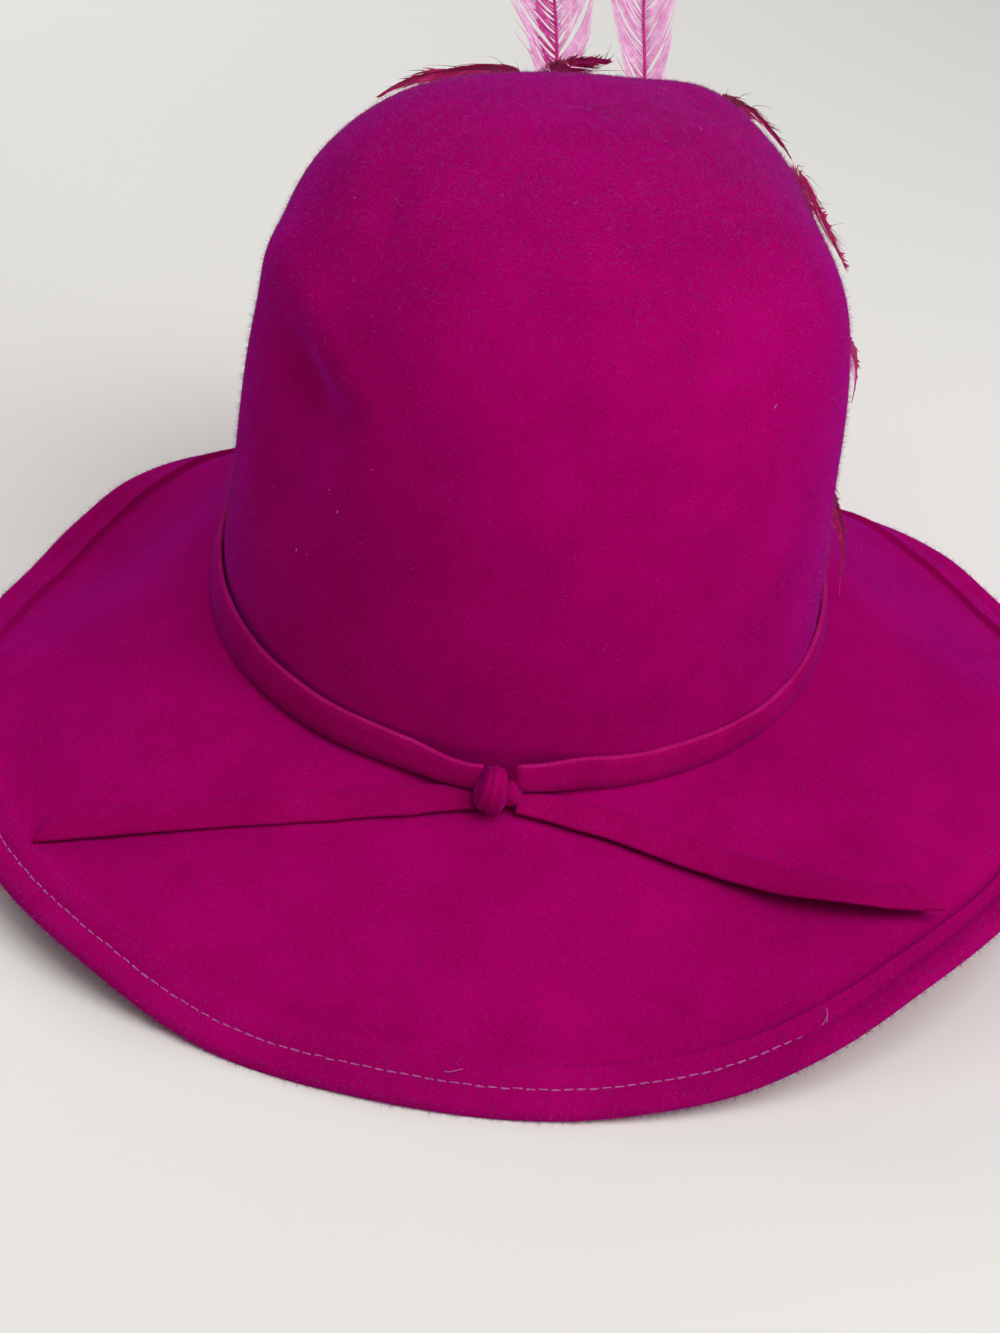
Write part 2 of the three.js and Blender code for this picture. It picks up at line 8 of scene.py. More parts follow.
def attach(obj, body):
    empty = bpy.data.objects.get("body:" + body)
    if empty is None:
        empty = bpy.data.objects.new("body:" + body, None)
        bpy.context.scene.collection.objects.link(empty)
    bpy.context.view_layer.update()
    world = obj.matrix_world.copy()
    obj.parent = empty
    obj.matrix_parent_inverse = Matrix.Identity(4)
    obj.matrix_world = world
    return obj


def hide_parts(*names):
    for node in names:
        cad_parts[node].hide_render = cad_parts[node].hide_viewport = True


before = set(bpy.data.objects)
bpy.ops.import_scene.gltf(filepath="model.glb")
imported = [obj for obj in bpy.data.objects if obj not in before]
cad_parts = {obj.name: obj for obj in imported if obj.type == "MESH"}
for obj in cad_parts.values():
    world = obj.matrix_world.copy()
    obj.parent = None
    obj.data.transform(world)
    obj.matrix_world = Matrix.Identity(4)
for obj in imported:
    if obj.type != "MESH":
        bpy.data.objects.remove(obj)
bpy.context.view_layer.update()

# Camera: a hand-held view down on the hat's front from just above the crown,
# close enough for strong perspective. Long side of the image 36 mm on film.
camera = bpy.data.objects.new("camera", bpy.data.cameras.new("camera"))
bpy.context.scene.collection.objects.link(camera)
camera.location = (-0.00254, -0.47786, 0.32537)
camera.rotation_euler = [math.radians(a) for a in (56.2121, -4.8448, 3.6591)]
camera.data.sensor_fit = "VERTICAL"
camera.data.sensor_height = 36
camera.data.lens = 51.74
camera.data.clip_start = 0.01
bpy.context.scene.camera = camera
bpy.context.scene.view_settings.view_transform = "Standard"

# Felt hood: one piece of 2.2 mm wool felt, steamed over a block to a domed
# crown and a wide brim that has relaxed into soft waves. All lengths below
# are millimetres from the crown's axis and the surface it rests on.
MM = 0.001
CROWN_AXIS = np.array([-2.54, 5.74, 0.0])
FELT = 2.2
BASE_RISE = 43.0
CROWN = dict(
    half_width=86.0, half_depth=103.0, height=133.0, squareness=2.12,
    side_taper=0.126, side_shoulder=49.7, side_round=3.41,
    depth_taper=0.058, depth_shoulder=51.4, depth_round=2.48,
    lean=2.3, pitch=0.0213, base_tilt=0.03,
)
THROAT_RADIUS = 3.5
HEM_WIDTH = 10.8
# At the right front the hem curls up, which leaves a trough inside the stitching.
TROUGH = dict(turn=48, spread=20, from_fold=9.2, half_width=5.0, depth=2.6)
BRIM_EDGE = np.array(
    [
        (-180, 168, 1.6, 0.9, 1.1), (-160, 165, 1.4, 0.9, 1.1), (-140, 160.5, 1.4, 1, 0.95),
        (-131, 161.5, 4.4, 1.1, 0.8), (-122, 160.5, 5.6, 1.5, 0), (-111, 157.5, 4.2, 1.6, -0.2),
        (-100, 156.5, 3.2, 1.6, -0.2), (-90, 158.5, 4.9, 1.5, 0.1), (-76, 164, 9.5, 1.2, 0.7),
        (-58, 171, 14.2, 1, 0.9), (-42, 177, 12.6, 0.9, 1.1), (-30, 179, 8.9, 0.9, 1.1),
        (-25, 179, 4.4, 0.9, 1.1), (-20, 179, 1.8, 0.9, 1.1), (-8, 179.2, 1.3, 0.9, 1.1),
        (3, 179.6, 1.6, 0.9, 1.1), (14, 180.4, 4, 0.9, 1.1), (21, 181, 8, 0.9, 1.1),
        (28, 182, 17.5, 1, 1), (35, 182, 28.2, 1, 1), (42, 181, 34.6, 1, 1),
        (55, 176, 36.8, 1, 1), (75, 169, 31, 1.3, 0.5), (92, 163.5, 20.5, 1.5, 0),
        (109, 162, 13.3, 1.6, -0.2), (121, 163, 10.8, 1.5, 0), (131, 163, 6.6, 1.1, 0.9),
        (140, 162, 1.4, 1, 1), (160, 165, 1.4, 0.9, 1.1),
    ],
    dtype=[(name, float) for name in ("turn", "reach", "rise", "foot_slope", "lip_slope")],
)
# Dents and swellings pressed into the crown by handling: each is an oval on its
# face, wide and high are half-spreads, slant turns its wide way up from level.
CROWN_RELIEF = np.array(
    [
        (-50, 66, -4.8, 19, 20, 0), (-48, 82, -2.2, 14, 9, -25), (-64, 98, 3.2, 28, 10, 5),
        (-44, 120, -1.6, 6, 14, 40), (-3, 103, 1.4, 56, 14, -6), (62, 101, 1.8, 36, 12, -9),
        (96, 112, -4.6, 34, 26, -38), (139, 126, 2.8, 24, 10, -23),
        (-114, 122, -3, 44, 9, -34), (-50, 82, -3.2, 14, 8, -10), (-37, 78, -1.8, 9, 8, -45),
        (-42, 94, 2.2, 20, 6, -24),
    ],
    dtype=[(name, float) for name in ("turn", "rise", "push", "wide", "high", "slant")],
)
RELIEF_DEPTH = 60.0


def round_value(table, column, turn):
    """Smooth value of a table's column, round the full circle."""
    knots, values = table["turn"], table[column]
    spans = np.diff(np.append(knots, knots[0] + 360))
    climbs = (np.roll(values, -1) - values) / spans
    before = np.roll(spans, 1)
    slopes = (np.roll(climbs, 1) * spans + climbs * before) / (spans + before)
    wrapped = knots[0] + (np.asarray(turn, float) - knots[0]) % 360
    i = np.searchsorted(knots, wrapped, side="right") - 1
    j = (i + 1) % len(knots)
    t = (wrapped - knots[i]) / spans[i]
    fall = 2 * t**3 - 3 * t**2 + 1
    return (
        fall * values[i] + (1 - fall) * values[j]
        + ((t**3 - 2 * t**2 + t) * slopes[i] + (t**3 - t**2) * slopes[j]) * spans[i]
    )


def doming(rise, shoulder, roundness):
    u = np.clip((rise - shoulder) / (CROWN["height"] - shoulder), 0, 1)
    return (1 - u**roundness) ** (1 / roundness)


def crown_face(turn, rise):
    turn, rise = np.broadcast_arrays(np.asarray(turn, float), np.asarray(rise, float))
    share = rise / CROWN["height"]
    half_width = CROWN["half_width"] * (1 - CROWN["side_taper"] * share)
    half_depth = CROWN["half_depth"] * (1 - CROWN["depth_taper"] * share)
    half_width = half_width * doming(rise, CROWN["side_shoulder"], CROWN["side_round"])
    half_depth = half_depth * doming(rise, CROWN["depth_shoulder"], CROWN["depth_round"])
    s, c = np.sin(np.radians(turn)), np.cos(np.radians(turn))
    power = 2 / CROWN["squareness"]
    x = half_width * np.sign(s) * np.abs(s) ** power
    y = -half_depth * np.sign(c) * np.abs(c) ** power
    tilt = y * (CROWN["pitch"] + CROWN["base_tilt"] * (1 - share))
    return np.stack(
        [x + CROWN["lean"] * share, y - CROWN["pitch"] * rise, BASE_RISE + rise + tilt], -1
    )


def brim_edge(turn):
    reach = round_value(BRIM_EDGE, "reach", turn) - FELT
    angle = np.radians(turn)
    rise = round_value(BRIM_EDGE, "rise", turn)
    return np.stack([reach * np.sin(angle), -reach * np.cos(angle), rise], -1)


def brim_face(turn, along):
    """Upper face of the brim, along = 0 at the crown's foot and 1 at the fold."""
    turn, along = np.broadcast_arrays(np.asarray(turn, float), np.asarray(along, float))
    foot, edge = crown_face(turn, 0), brim_edge(turn)
    point = foot + (edge - foot) * along[..., None]
    s = np.clip(along, 0, 1)
    fall = (
        round_value(BRIM_EDGE, "foot_slope", turn) * (s**3 - 2 * s**2 + s)
        + round_value(BRIM_EDGE, "lip_slope", turn) * (s**3 - s**2)
        + 3 * s**2 - 2 * s**3 + (along - s)
    )
    point[..., 2] = foot[..., 2] + (edge[..., 2] - foot[..., 2]) * fall
    return point


def brim_reach(turn):
    step = (brim_edge(turn) - crown_face(turn, 0))[..., :2]
    return np.linalg.norm(step, axis=-1)


def relief_axes(spot):
    """A dent's middle, its wide and high ways along the crown, and its outward way."""
    nudge = 0.5
    middle = crown_face(spot["turn"], spot["rise"])
    level = crown_face(spot["turn"] + nudge, spot["rise"]) - middle
    level /= np.linalg.norm(level)
    up = middle - crown_face(spot["turn"], spot["rise"] - nudge)
    out = np.cross(level, up)
    out /= np.linalg.norm(out)
    up = np.cross(out, level)
    c, s = math.cos(math.radians(spot["slant"])), math.sin(math.radians(spot["slant"]))
    return middle, level * c + up * s, up * c - level * s, out


def crown_relief(points):
    push = np.zeros(points.shape[:-1])
    for spot in CROWN_RELIEF:
        middle, wide_way, high_way, out = relief_axes(spot)
        step = points - middle
        push += spot["push"] * np.exp(
            -((step @ wide_way / spot["wide"]) ** 2) - (step @ high_way / spot["high"]) ** 2
            - (step @ out / RELIEF_DEPTH) ** 2
        )
    return push


def wandering(points, depth, size, seed):
    """Smooth unevenness up to depth either way, in lumps size wide, all millimetres."""
    flat = points.reshape(-1, 3) / size + seed
    unit = np.array([noise.noise(Vector(p)) for p in flat]).reshape(points.shape[:-1]) * 1.6
    return depth * unit


def grid_normals(grid):
    """Unit normals of a grid of rings, closed round the second axis."""
    down = np.gradient(grid, axis=0)
    around = np.roll(grid, -1, 1) - np.roll(grid, 1, 1)
    normal = np.cross(down, around)
    normal /= np.linalg.norm(normal, axis=-1, keepdims=True) + 1e-12
    return normal


def line_lengths(line):
    """How far along a line each of its points is."""
    return np.append(0, np.cumsum(np.linalg.norm(np.diff(line, axis=0), axis=1)))


# Points in each ring, and rings on the crown, at its foot, on the brim and on the hem.
AROUND = 400
CROWN_ROWS, THROAT_ROWS, BRIM_ROWS, HEM_ROWS = 84, 6, 33, 18
FIRST_RING = 1.2
turns = np.arange(AROUND) * 360 / AROUND
# Rings lie evenly along the crown's profile at this turn, where front meets side.
PROFILE_TURN = 20
arc_rise = CROWN["height"] * np.sin(np.linspace(math.pi / 2, 0, 4001)) ** 0.6
arc_rise = arc_rise[arc_rise > THROAT_RADIUS]
arc_length = line_lengths(crown_face(PROFILE_TURN, arc_rise))
crown_rises = np.interp(np.linspace(FIRST_RING, arc_length[-1], CROWN_ROWS), arc_length, arc_rise)
crown_grid = crown_face(turns[None], crown_rises[:, None])
crown_grid = crown_grid + grid_normals(crown_grid) * (
    crown_relief(crown_grid) + wandering(crown_grid, 0.35, 30, 3.1)
)[..., None]

reach = brim_reach(turns)
throat_rows = []
for quarter in np.linspace(0, 1, THROAT_ROWS + 1)[1:]:
    angle = quarter * math.pi / 2
    row = brim_face(turns, THROAT_RADIUS * (1 - math.cos(angle)) / reach)
    row[:, 2] += THROAT_RADIUS * (1 - math.sin(angle))
    throat_rows.append(row)
start = THROAT_RADIUS / reach
raw_edge = 1 - (HEM_WIDTH - FELT) / reach
brim_shares = [start + (raw_edge - start) * k for k in np.linspace(0, 1, BRIM_ROWS + 1)[1:]]
brim_shares += [raw_edge + (1 - raw_edge) * k for k in np.linspace(0, 1, HEM_ROWS + 1)[1:]]
brim_grid = np.stack([brim_face(turns, share) for share in brim_shares])
from_fold = (1 - np.stack([share * np.ones(AROUND) for share in brim_shares])) * reach + FELT
trough_turn = np.exp(-(((turns - TROUGH["turn"]) / TROUGH["spread"]) ** 2))
trough = np.exp(-(((from_fold - TROUGH["from_fold"]) / TROUGH["half_width"]) ** 2)) * trough_turn
brim_grid[..., 2] -= TROUGH["depth"] * trough
sway = np.clip(np.linspace(0, 1, len(brim_shares)) * 3, 0, 1)[:, None]
brim_grid[..., 2] += wandering(brim_grid, 0.45 * sway, 34, 8.7)
outer_grid = np.concatenate([crown_grid, np.stack(throat_rows), brim_grid])
outer_normals = grid_normals(outer_grid)
BRIM_START = CROWN_ROWS + THROAT_ROWS
RAW_ROW = BRIM_START + BRIM_ROWS - 1

# The hem's upper layer: pressed thin by the stitching, thicker at its raw edge
# where it curls, with a shallow groove along the stitch line.
STITCH_IN = 6.2
PRESSED_SHARE, PRESSED_HALF_WIDTH = 0.22, 1.1
hem_distance = (HEM_WIDTH - FELT) * np.linspace(1, 0, HEM_ROWS + 1)
groove = np.exp(-(((hem_distance + FELT - STITCH_IN) / PRESSED_HALF_WIDTH) ** 2))
hem_lift = np.full((HEM_ROWS + 1, AROUND), FELT) * (1 - PRESSED_SHARE * groove)[:, None]
hem_base = outer_grid[RAW_ROW:]
hem_normals = outer_normals[RAW_ROW:]
hem_grid = hem_base + hem_normals * hem_lift[..., None]
edge_wave = wandering(hem_grid[0], 0.35, 16, 21.0)[:, None]
inward = outer_grid[RAW_ROW - 1] - outer_grid[RAW_ROW]
inward /= np.linalg.norm(inward, axis=-1, keepdims=True)
hem_grid[0] += inward * edge_wave
hem_grid[1] += inward * edge_wave * 0.5
raw_foot = hem_base[0] + inward * (0.3 + edge_wave)
raw_shoulder = hem_base[0] + inward * (0.35 + edge_wave) + hem_normals[0] * FELT * 0.62
raw_top = hem_grid[0] + hem_normals[0] * -0.12 + inward * 0.12

fold_centre, fold_normal = outer_grid[-1], outer_normals[-1]
fold_out = outer_grid[-1] - outer_grid[-2]
fold_out /= np.linalg.norm(fold_out, axis=-1, keepdims=True)
fold_angles = np.linspace(math.pi / 2, -math.pi / 2, 11)[1:-1]
fold_ways = [fold_normal * math.sin(a) + fold_out * math.cos(a) for a in fold_angles]
fold_rows = [fold_centre + FELT * way for way in fold_ways]
# The inside is hidden, so past the fold every second ring is enough.
inner_grid = (outer_grid - outer_normals * FELT)[::-1]
keep_inner = [r for r in range(len(inner_grid)) if r % 2 == 0 or r < 6]

hood_rings = list(outer_grid[:RAW_ROW])
hood_rings += [raw_foot, raw_shoulder, raw_top] + list(hem_grid) + fold_rows
hood_rings += [inner_grid[r] for r in keep_inner]


def linear(hex_colour):
    """An sRGB hex colour as linear red, green, blue and alpha."""
    parts = [int(hex_colour[i : i + 2], 16) / 255 for i in (1, 3, 5)]
    return [c / 12.92 if c <= 0.04045 else ((c + 0.055) / 1.055) ** 2.4 for c in parts] + [1]


def add_node(material, kind, inputs=None, **settings):
    """Add one node: its settings, and for each input a value or a link."""
    made = material.node_tree.nodes.new(kind)
    for name, value in settings.items():
        setattr(made, name, value)
    for name, value in (inputs or {}).items():
        if isinstance(value, bpy.types.NodeSocket):
            material.node_tree.links.new(value, made.inputs[name])
        else:
            made.inputs[name].default_value = value
    return made


def new_material(name):
    material = bpy.data.materials.new(name)
    material.use_nodes = True
    material.node_tree.nodes.clear()
    return material


MOTTLE_SIZE = 22
NAP_SIZE = 0.5
# Share of the way to the sheen colour at grazing angles: painted sheen.
PAINTED_SHEEN_SHARE = 0.46


def wool_felt(name, deep, middle, bright, sheen):
    """Brushed wool felt: matte, mottled by the dye, with a short nap. Where the cloth turns
    away from the eye its colour is mixed towards a violet sheen colour: a painted sheen,
    in patches that follow the nap. Wool fibres are 0.02 mm; the nap is drawn 0.5 mm
    coarse, as the image needs to show it."""
    material = new_material(name)
    place = add_node(material, "ShaderNodeTexCoord").outputs["Object"]
    mottle = add_node(
        material, "ShaderNodeTexNoise",
        {"Vector": place, "Scale": 1 / (MOTTLE_SIZE * MM), "Detail": 3.0, "Roughness": 0.6},
    )
    nap = add_node(
        material, "ShaderNodeTexNoise",
        {"Vector": place, "Scale": 1 / (NAP_SIZE * MM), "Detail": 4.0, "Roughness": 0.7,
         "Distortion": 0.6},
    )
    mixed = add_node(
        material, "ShaderNodeMix",
        {"Factor": 0.3, "A": nap.outputs["Fac"], "B": mottle.outputs["Fac"]},
    )
    ramp = add_node(material, "ShaderNodeValToRGB", {"Fac": mixed.outputs["Result"]})
    ramp.color_ramp.elements[0].position = 0.34
    ramp.color_ramp.elements[0].color = linear(deep)
    ramp.color_ramp.elements[1].position = 0.66
    ramp.color_ramp.elements[1].color = linear(bright)
    ramp.color_ramp.elements.new(0.5).color = linear(middle)
    # Painted sheen: towards grazing angles the colour is mixed towards the sheen colour, in patches
    # that follow the nap's noise.
    grazing = add_node(material, "ShaderNodeLayerWeight", {"Blend": 0.5})
    rim = add_node(
        material, "ShaderNodeMapRange",
        {"Value": grazing.outputs["Facing"], "From Min": 0.62, "From Max": 1.0,
         "To Max": PAINTED_SHEEN_SHARE},
    )
    tufts = add_node(
        material, "ShaderNodeMapRange",
        {"Value": nap.outputs["Fac"], "From Min": 0.42, "From Max": 0.62, "To Min": 0.25},
    )
    painted_sheen_here = add_node(
        material, "ShaderNodeMath",
        {0: rim.outputs["Result"], 1: tufts.outputs["Result"]}, operation="MULTIPLY",
    )
    # The dyed colour with the painted sheen mixed in.
    brushed = add_node(
        material, "ShaderNodeMix",
        {"Factor": painted_sheen_here.outputs["Value"], 6: ramp.outputs["Color"], 7: linear(sheen)},
        data_type="RGBA",
    )
    bump = add_node(
        material, "ShaderNodeBump",
        {"Height": nap.outputs["Fac"], "Strength": 0.6, "Distance": 0.25 * MM},
    )
    surface = add_node(
        material, "ShaderNodeBsdfPrincipled",
        {"Base Color": brushed.outputs[2], "Normal": bump.outputs["Normal"],
         "Roughness": 0.95, "Specular IOR Level": 0.0, "Sheen Weight": 0.2,
         "Sheen Roughness": 0.45, "Sheen Tint": linear("#8a20e6")},
    )
    add_node(material, "ShaderNodeOutputMaterial", {"Surface": surface.outputs["BSDF"]})
    return material


def make_piece(name, points, faces, materials, face_materials=None):
    """A mesh object from points in millimetres off the crown's axis."""
    mesh = bpy.data.meshes.new(name)
    placed = (np.asarray(points, float).reshape(-1, 3) + CROWN_AXIS) * MM
    mesh.from_pydata(placed.tolist(), [], faces)
    for material in materials:
        mesh.materials.append(material)
    if face_materials is not None:
        mesh.polygons.foreach_set("material_index", np.asarray(face_materials, np.int32))
    mesh.polygons.foreach_set("use_smooth", [True] * len(mesh.polygons))
    mesh.update()
    piece = bpy.data.objects.new(name, mesh)
    bpy.context.scene.collection.objects.link(piece)
    return piece


def rings_to_mesh(rings, first_pole=None, last_pole=None):
    """Points and faces of a closed skin through rings of equal count."""
    count = len(rings[0])
    points = [point for ring in rings for point in ring]
    faces = []
    for r in range(len(rings) - 1):
        a, b = r * count, (r + 1) * count
        for i in range(count):
            j = (i + 1) % count
            faces.append((a + i, b + i, b + j, a + j))
    last = (len(rings) - 1) * count
    if first_pole is None:
        first_pole = np.mean(rings[0], axis=0)
    if last_pole is None:
        last_pole = np.mean(rings[-1], axis=0)
    points += [first_pole, last_pole]
    for i in range(count):
        j = (i + 1) % count
        faces.append((len(points) - 2, i, j))
        faces.append((last + i, len(points) - 1, last + j))
    return np.array(points), faces


# The brim's lowest waves rest on the floor, so nothing goes below it.
for ring in hood_rings:
    ring[:, 2] = np.maximum(ring[:, 2], 0)
crown_top = crown_face(0, CROWN["height"])
hood_points, hood_faces = rings_to_mesh(
    hood_rings, crown_top, crown_top - np.array([0, 0, FELT])
)
# Each felt's last colour is its painted sheen, mixed in where the cloth turns away from the eye.
hood_felt = wool_felt("brushed wool felt", "#8f0153", "#a50262", "#b8036f", "#aa1ca4")
hood = make_piece("hood", hood_points, hood_faces, [hood_felt])
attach(hood, "root")
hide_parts("felt_hood")

# Hem stitching: one machine-sewn row of pale lilac cotton thread, 6.2 mm in
# from the fold, two plied strands to a stitch, sunk in the pressed felt.
STITCH_PITCH = 2.9
STITCH_LENGTH = 2.5
STITCH_POINTS = 7
STRAND_RADIUS = 0.11
STITCH_RISE = 0.14
STITCH_ENDS_DIP = 0.34
# Away from the front the stitches sink into the felt: fully buried 25 degrees past
# the first turn, and three degrees past the second.
SUNK_DEPTH, SUNK_LEFT, SUNK_RIGHT = 0.45, -60, 24


def hem_top(turn, distance):
    """Top of the hem at a distance in from the fold's tip, and its normal."""
    row = (HEM_WIDTH - distance) / (HEM_WIDTH - FELT) * HEM_ROWS
    low = np.clip(np.floor(row).astype(int), 0, HEM_ROWS - 1)
    column = (turn % 360) / 360 * AROUND
    left = np.floor(column).astype(int) % AROUND
    right = (left + 1) % AROUND
    u, w = (row - low)[..., None], (column - np.floor(column))[..., None]
    found = []
    for grid in (hem_grid, hem_normals):
        near = grid[low, left] * (1 - w) + grid[low, right] * w
        far = grid[low + 1, left] * (1 - w) + grid[low + 1, right] * w
        found.append(near * (1 - u) + far * u)
    return found


def tube(points, radii, sides=6, flat=None):
    """Rings of a tapered tube along points; flat = (normals, share) squashes it."""
    points = np.asarray(points, float)
    tangents = np.gradient(points, axis=0)
    tangents /= np.linalg.norm(tangents, axis=1, keepdims=True) + 1e-12
    if flat is None:
        up = np.array([0.31, 0.42, 0.85]) * np.ones_like(points)
        share = 1.0
    else:
        up, share = np.asarray(flat[0]) * np.ones_like(points), flat[1]
    across = np.cross(tangents, up)
    across /= np.linalg.norm(across, axis=1, keepdims=True) + 1e-12
    over = np.cross(across, tangents)
    angles = 2 * np.pi * np.arange(sides) / sides
    radii = np.asarray(radii, float) * np.ones(len(points))
    return [
        points[k] + radii[k] * (
            across[k] * np.cos(angles)[:, None] + over[k] * share * np.sin(angles)[:, None]
        )
        for k in range(len(points))
    ]


def gather(parts):
    """Join (points, faces) parts into one."""
    points, faces, start = [], [], 0
    for part_points, part_faces in parts:
        points.append(part_points)
        faces += [tuple(i + start for i in face) for face in part_faces]
        start += len(part_points)
    return np.concatenate(points), faces


chance = np.random.default_rng(11)
fine_turns = np.linspace(-180, 180, 3601)
stitch_line, _ = hem_top(fine_turns, np.full(len(fine_turns), STITCH_IN))
line_length = line_lengths(stitch_line)
stitches = []
for k in range(int(line_length[-1] / STITCH_PITCH)):
    where = k * STITCH_PITCH + np.linspace(-0.5, 0.5, STITCH_POINTS) * STITCH_LENGTH
    stitch_turn = np.interp(where + STITCH_PITCH / 2, line_length, fine_turns)
    wobble = chance.normal(0, 0.07)
    spot, up = hem_top(stitch_turn, np.full(STITCH_POINTS, STITCH_IN + wobble))
    middle_turn = stitch_turn[STITCH_POINTS // 2]
    past = max(SUNK_LEFT - middle_turn, 8 * (middle_turn - SUNK_RIGHT))
    buried = SUNK_DEPTH * min(max(past / 25, 0), 1) + 0.1 * chance.random() ** 3
    sink = STITCH_RISE - buried - STITCH_ENDS_DIP * np.linspace(-1, 1, STITCH_POINTS) ** 4
    forward = np.gradient(spot, axis=0)
    beside = np.cross(up, forward / np.linalg.norm(forward, axis=1, keepdims=True))
    for strand in (-1, 1):
        twist = np.linspace(0, 2.2, STITCH_POINTS) + chance.normal(0, 0.4)
        ply = strand * STRAND_RADIUS * np.cos(twist)
        stitches.append(rings_to_mesh(tube(
            spot + up * (sink + 0.05 * strand)[:, None] + beside * ply[:, None],
            STRAND_RADIUS * np.array([0.6, 0.95, 1, 1, 1, 0.95, 0.6]), 5,
        )))
# Loose thread ends: lift is how high each one arches off the felt.
LOOSE_ENDS = np.array(
    [(27.6, 6.0, 2.3, 75, 1.1), (27.2, 6.3, 1.7, 25, 0.8), (-2, 8.2, 4.2, -25, 0.5)],
    dtype=[(name, float) for name in ("turn", "in_from_fold", "length", "heading", "lift")],
)
for end in LOOSE_ENDS:
    share = np.linspace(0, 1, 9)
    root, root_up = hem_top(end["turn"] * np.ones(1), np.full(1, end["in_from_fold"]))
    angle = math.radians(end["heading"]) + 0.9 * share
    step = np.stack([np.cos(angle), np.sin(angle), 0 * angle], -1) * end["length"] / 8
    step[:, 2] = end["lift"] * np.sin(math.pi * share) * 0.5 - 0.02
    curl = root + root_up * 0.15 + np.cumsum(step, axis=0)
    stitches.append(rings_to_mesh(tube(curl, STRAND_RADIUS * (1.1 - 0.6 * share))))
# Spun cotton: a little glossier and paler than the felt, so each stitch reads as a dash.
thread = new_material("spun cotton thread")
thread_place = add_node(thread, "ShaderNodeTexCoord").outputs["Object"]
thread_twist = add_node(
    thread, "ShaderNodeTexNoise", {"Vector": thread_place, "Scale": 1 / (0.3 * MM), "Detail": 2.0},
)
thread_ramp = add_node(thread, "ShaderNodeValToRGB", {"Fac": thread_twist.outputs["Fac"]})
thread_ramp.color_ramp.elements[0].color = linear("#a83c92")
thread_ramp.color_ramp.elements[1].color = linear("#d078bc")
thread_surface = add_node(
    thread, "ShaderNodeBsdfPrincipled",
    {"Base Color": thread_ramp.outputs["Color"], "Roughness": 0.7, "Sheen Weight": 0.3},
)
add_node(thread, "ShaderNodeOutputMaterial", {"Surface": thread_surface.outputs["BSDF"]})
stitching = make_piece("hem_stitching", *gather(stitches), [thread])
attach(stitching, "root")

# Band: a 9 mm strip of the same felt, cut with plain edges and drawn round the
# crown's foot, standing a little off the crown at the front left.
BAND_THICK = 1.4
BAND_FOOT_OFFSET = 1.5
BAND_TOP_OFFSET = 0.12
BAND = np.array(
    [
        (-180, 1.2, 9.2, 0), (-120, 1.2, 9.2, 0), (-80, 1.2, 9.4, 0.5), (-55, 1.0, 10.2, 1.1),
        (-32, 0.9, 9.6, 0.6), (-14, 0.9, 8.6, 0.6), (-3.6, 1.6, 7.4, 3.4), (3.4, 2, 8.4, 3),
        (11, 0.9, 8.6, 0.4), (26, 0.9, 8.4, 0), (55, 0.8, 7.2, 0), (85, 1, 7.6, 0),
        (130, 1.2, 9, 0),
    ],
    dtype=[(name, float) for name in ("turn", "low", "high", "gap")],
)


def outward(turn):
    across = (crown_face(turn + 0.5, 0) - crown_face(turn - 0.5, 0)) * [1, 1, 0]
    across /= np.linalg.norm(across, axis=-1, keepdims=True)
    return np.stack([across[..., 1], -across[..., 0], 0 * across[..., 0]], -1)


# The four faces of a strip's section that are its upper cut edge.
STRIP_EDGE = (6, 7, 8, 9)


def strip_section(foot, head, face, thick):
    """A flat felt strip's section: (n, k, 3) points, edges softly rounded."""
    soft = 0.45
    span = head - foot
    way = span / np.linalg.norm(span, axis=-1, keepdims=True)
    low, high = foot + span * 0.35, foot + span * 0.65
    outline = (
        (foot, 0, soft), (foot, 0, thick / 2), (foot, 0, thick - soft), (foot, soft, thick),
        (low, 0, thick), (high, 0, thick),
        (head, -soft, thick), (head, 0, thick - soft), (head, 0, thick / 2), (head, 0, soft),
        (head, -soft, 0), (high, 0, 0), (low, 0, 0), (foot, soft, 0),
    )
    return np.stack([base + way * up + face * out for base, up, out in outline], 1)


band_turns = np.linspace(2.0, 357.6, 420)
band_side = outward(band_turns)
band_low = round_value(BAND, "low", band_turns) - 0.3
band_high = round_value(BAND, "high", band_turns)
band_gap = np.maximum(round_value(BAND, "gap", band_turns), 0)
band_foot = crown_face(band_turns, band_low) + band_side * (BAND_FOOT_OFFSET + band_gap)[:, None]
band_head = crown_face(band_turns, band_high) + band_side * (BAND_TOP_OFFSET + band_gap)[:, None]
band_head[:, 2] += wandering(band_head, 0.25, 14, 5.0)
band_rings = strip_section(band_foot, band_head, band_side, BAND_THICK)
# The last colour of each felt is its painted sheen at grazing angles.
band_felt = wool_felt("cut felt strip", "#8a024b", "#a0035a", "#b60a6c", "#aa2c9c")
# A lighter copy of the strip's felt for its upper cut edge: painted highlight.
painted_highlight_felt = wool_felt("cut felt edge", "#9c0758", "#b01069", "#c0267c", "#c048a8")


def make_strip(name, rings):
    """A strip's mesh, its upper or front cut edge in a lighter copy of the felt: a painted
    highlight where the edge catches the light.
    """
    points, faces = rings_to_mesh(list(rings))
    sides = len(rings[0])
    looped = (len(rings) - 1) * sides
    edge = [int(k < looped and k % sides in STRIP_EDGE) for k in range(len(faces))]
    return make_piece(name, points, faces, [band_felt, painted_highlight_felt], edge)


band = make_strip("felt_band", band_rings)
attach(band, "root")
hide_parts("band")

# Knot: the band's ends are tied once, so one strip rolls over the other as a
# plump barrel, creased lengthways, with the under strip bulging at its right.
KNOT = dict(x=-1.6, y=-110.7, z=41.0, half_width=3.9, half_depth=5.6, half_height=6.0)
KNOT_TILT = math.radians(11)
UNDER_STRIP = dict(offset=[4.6, 1.4, -1.5], half_sizes=(2.4, 3.4, 3.0))


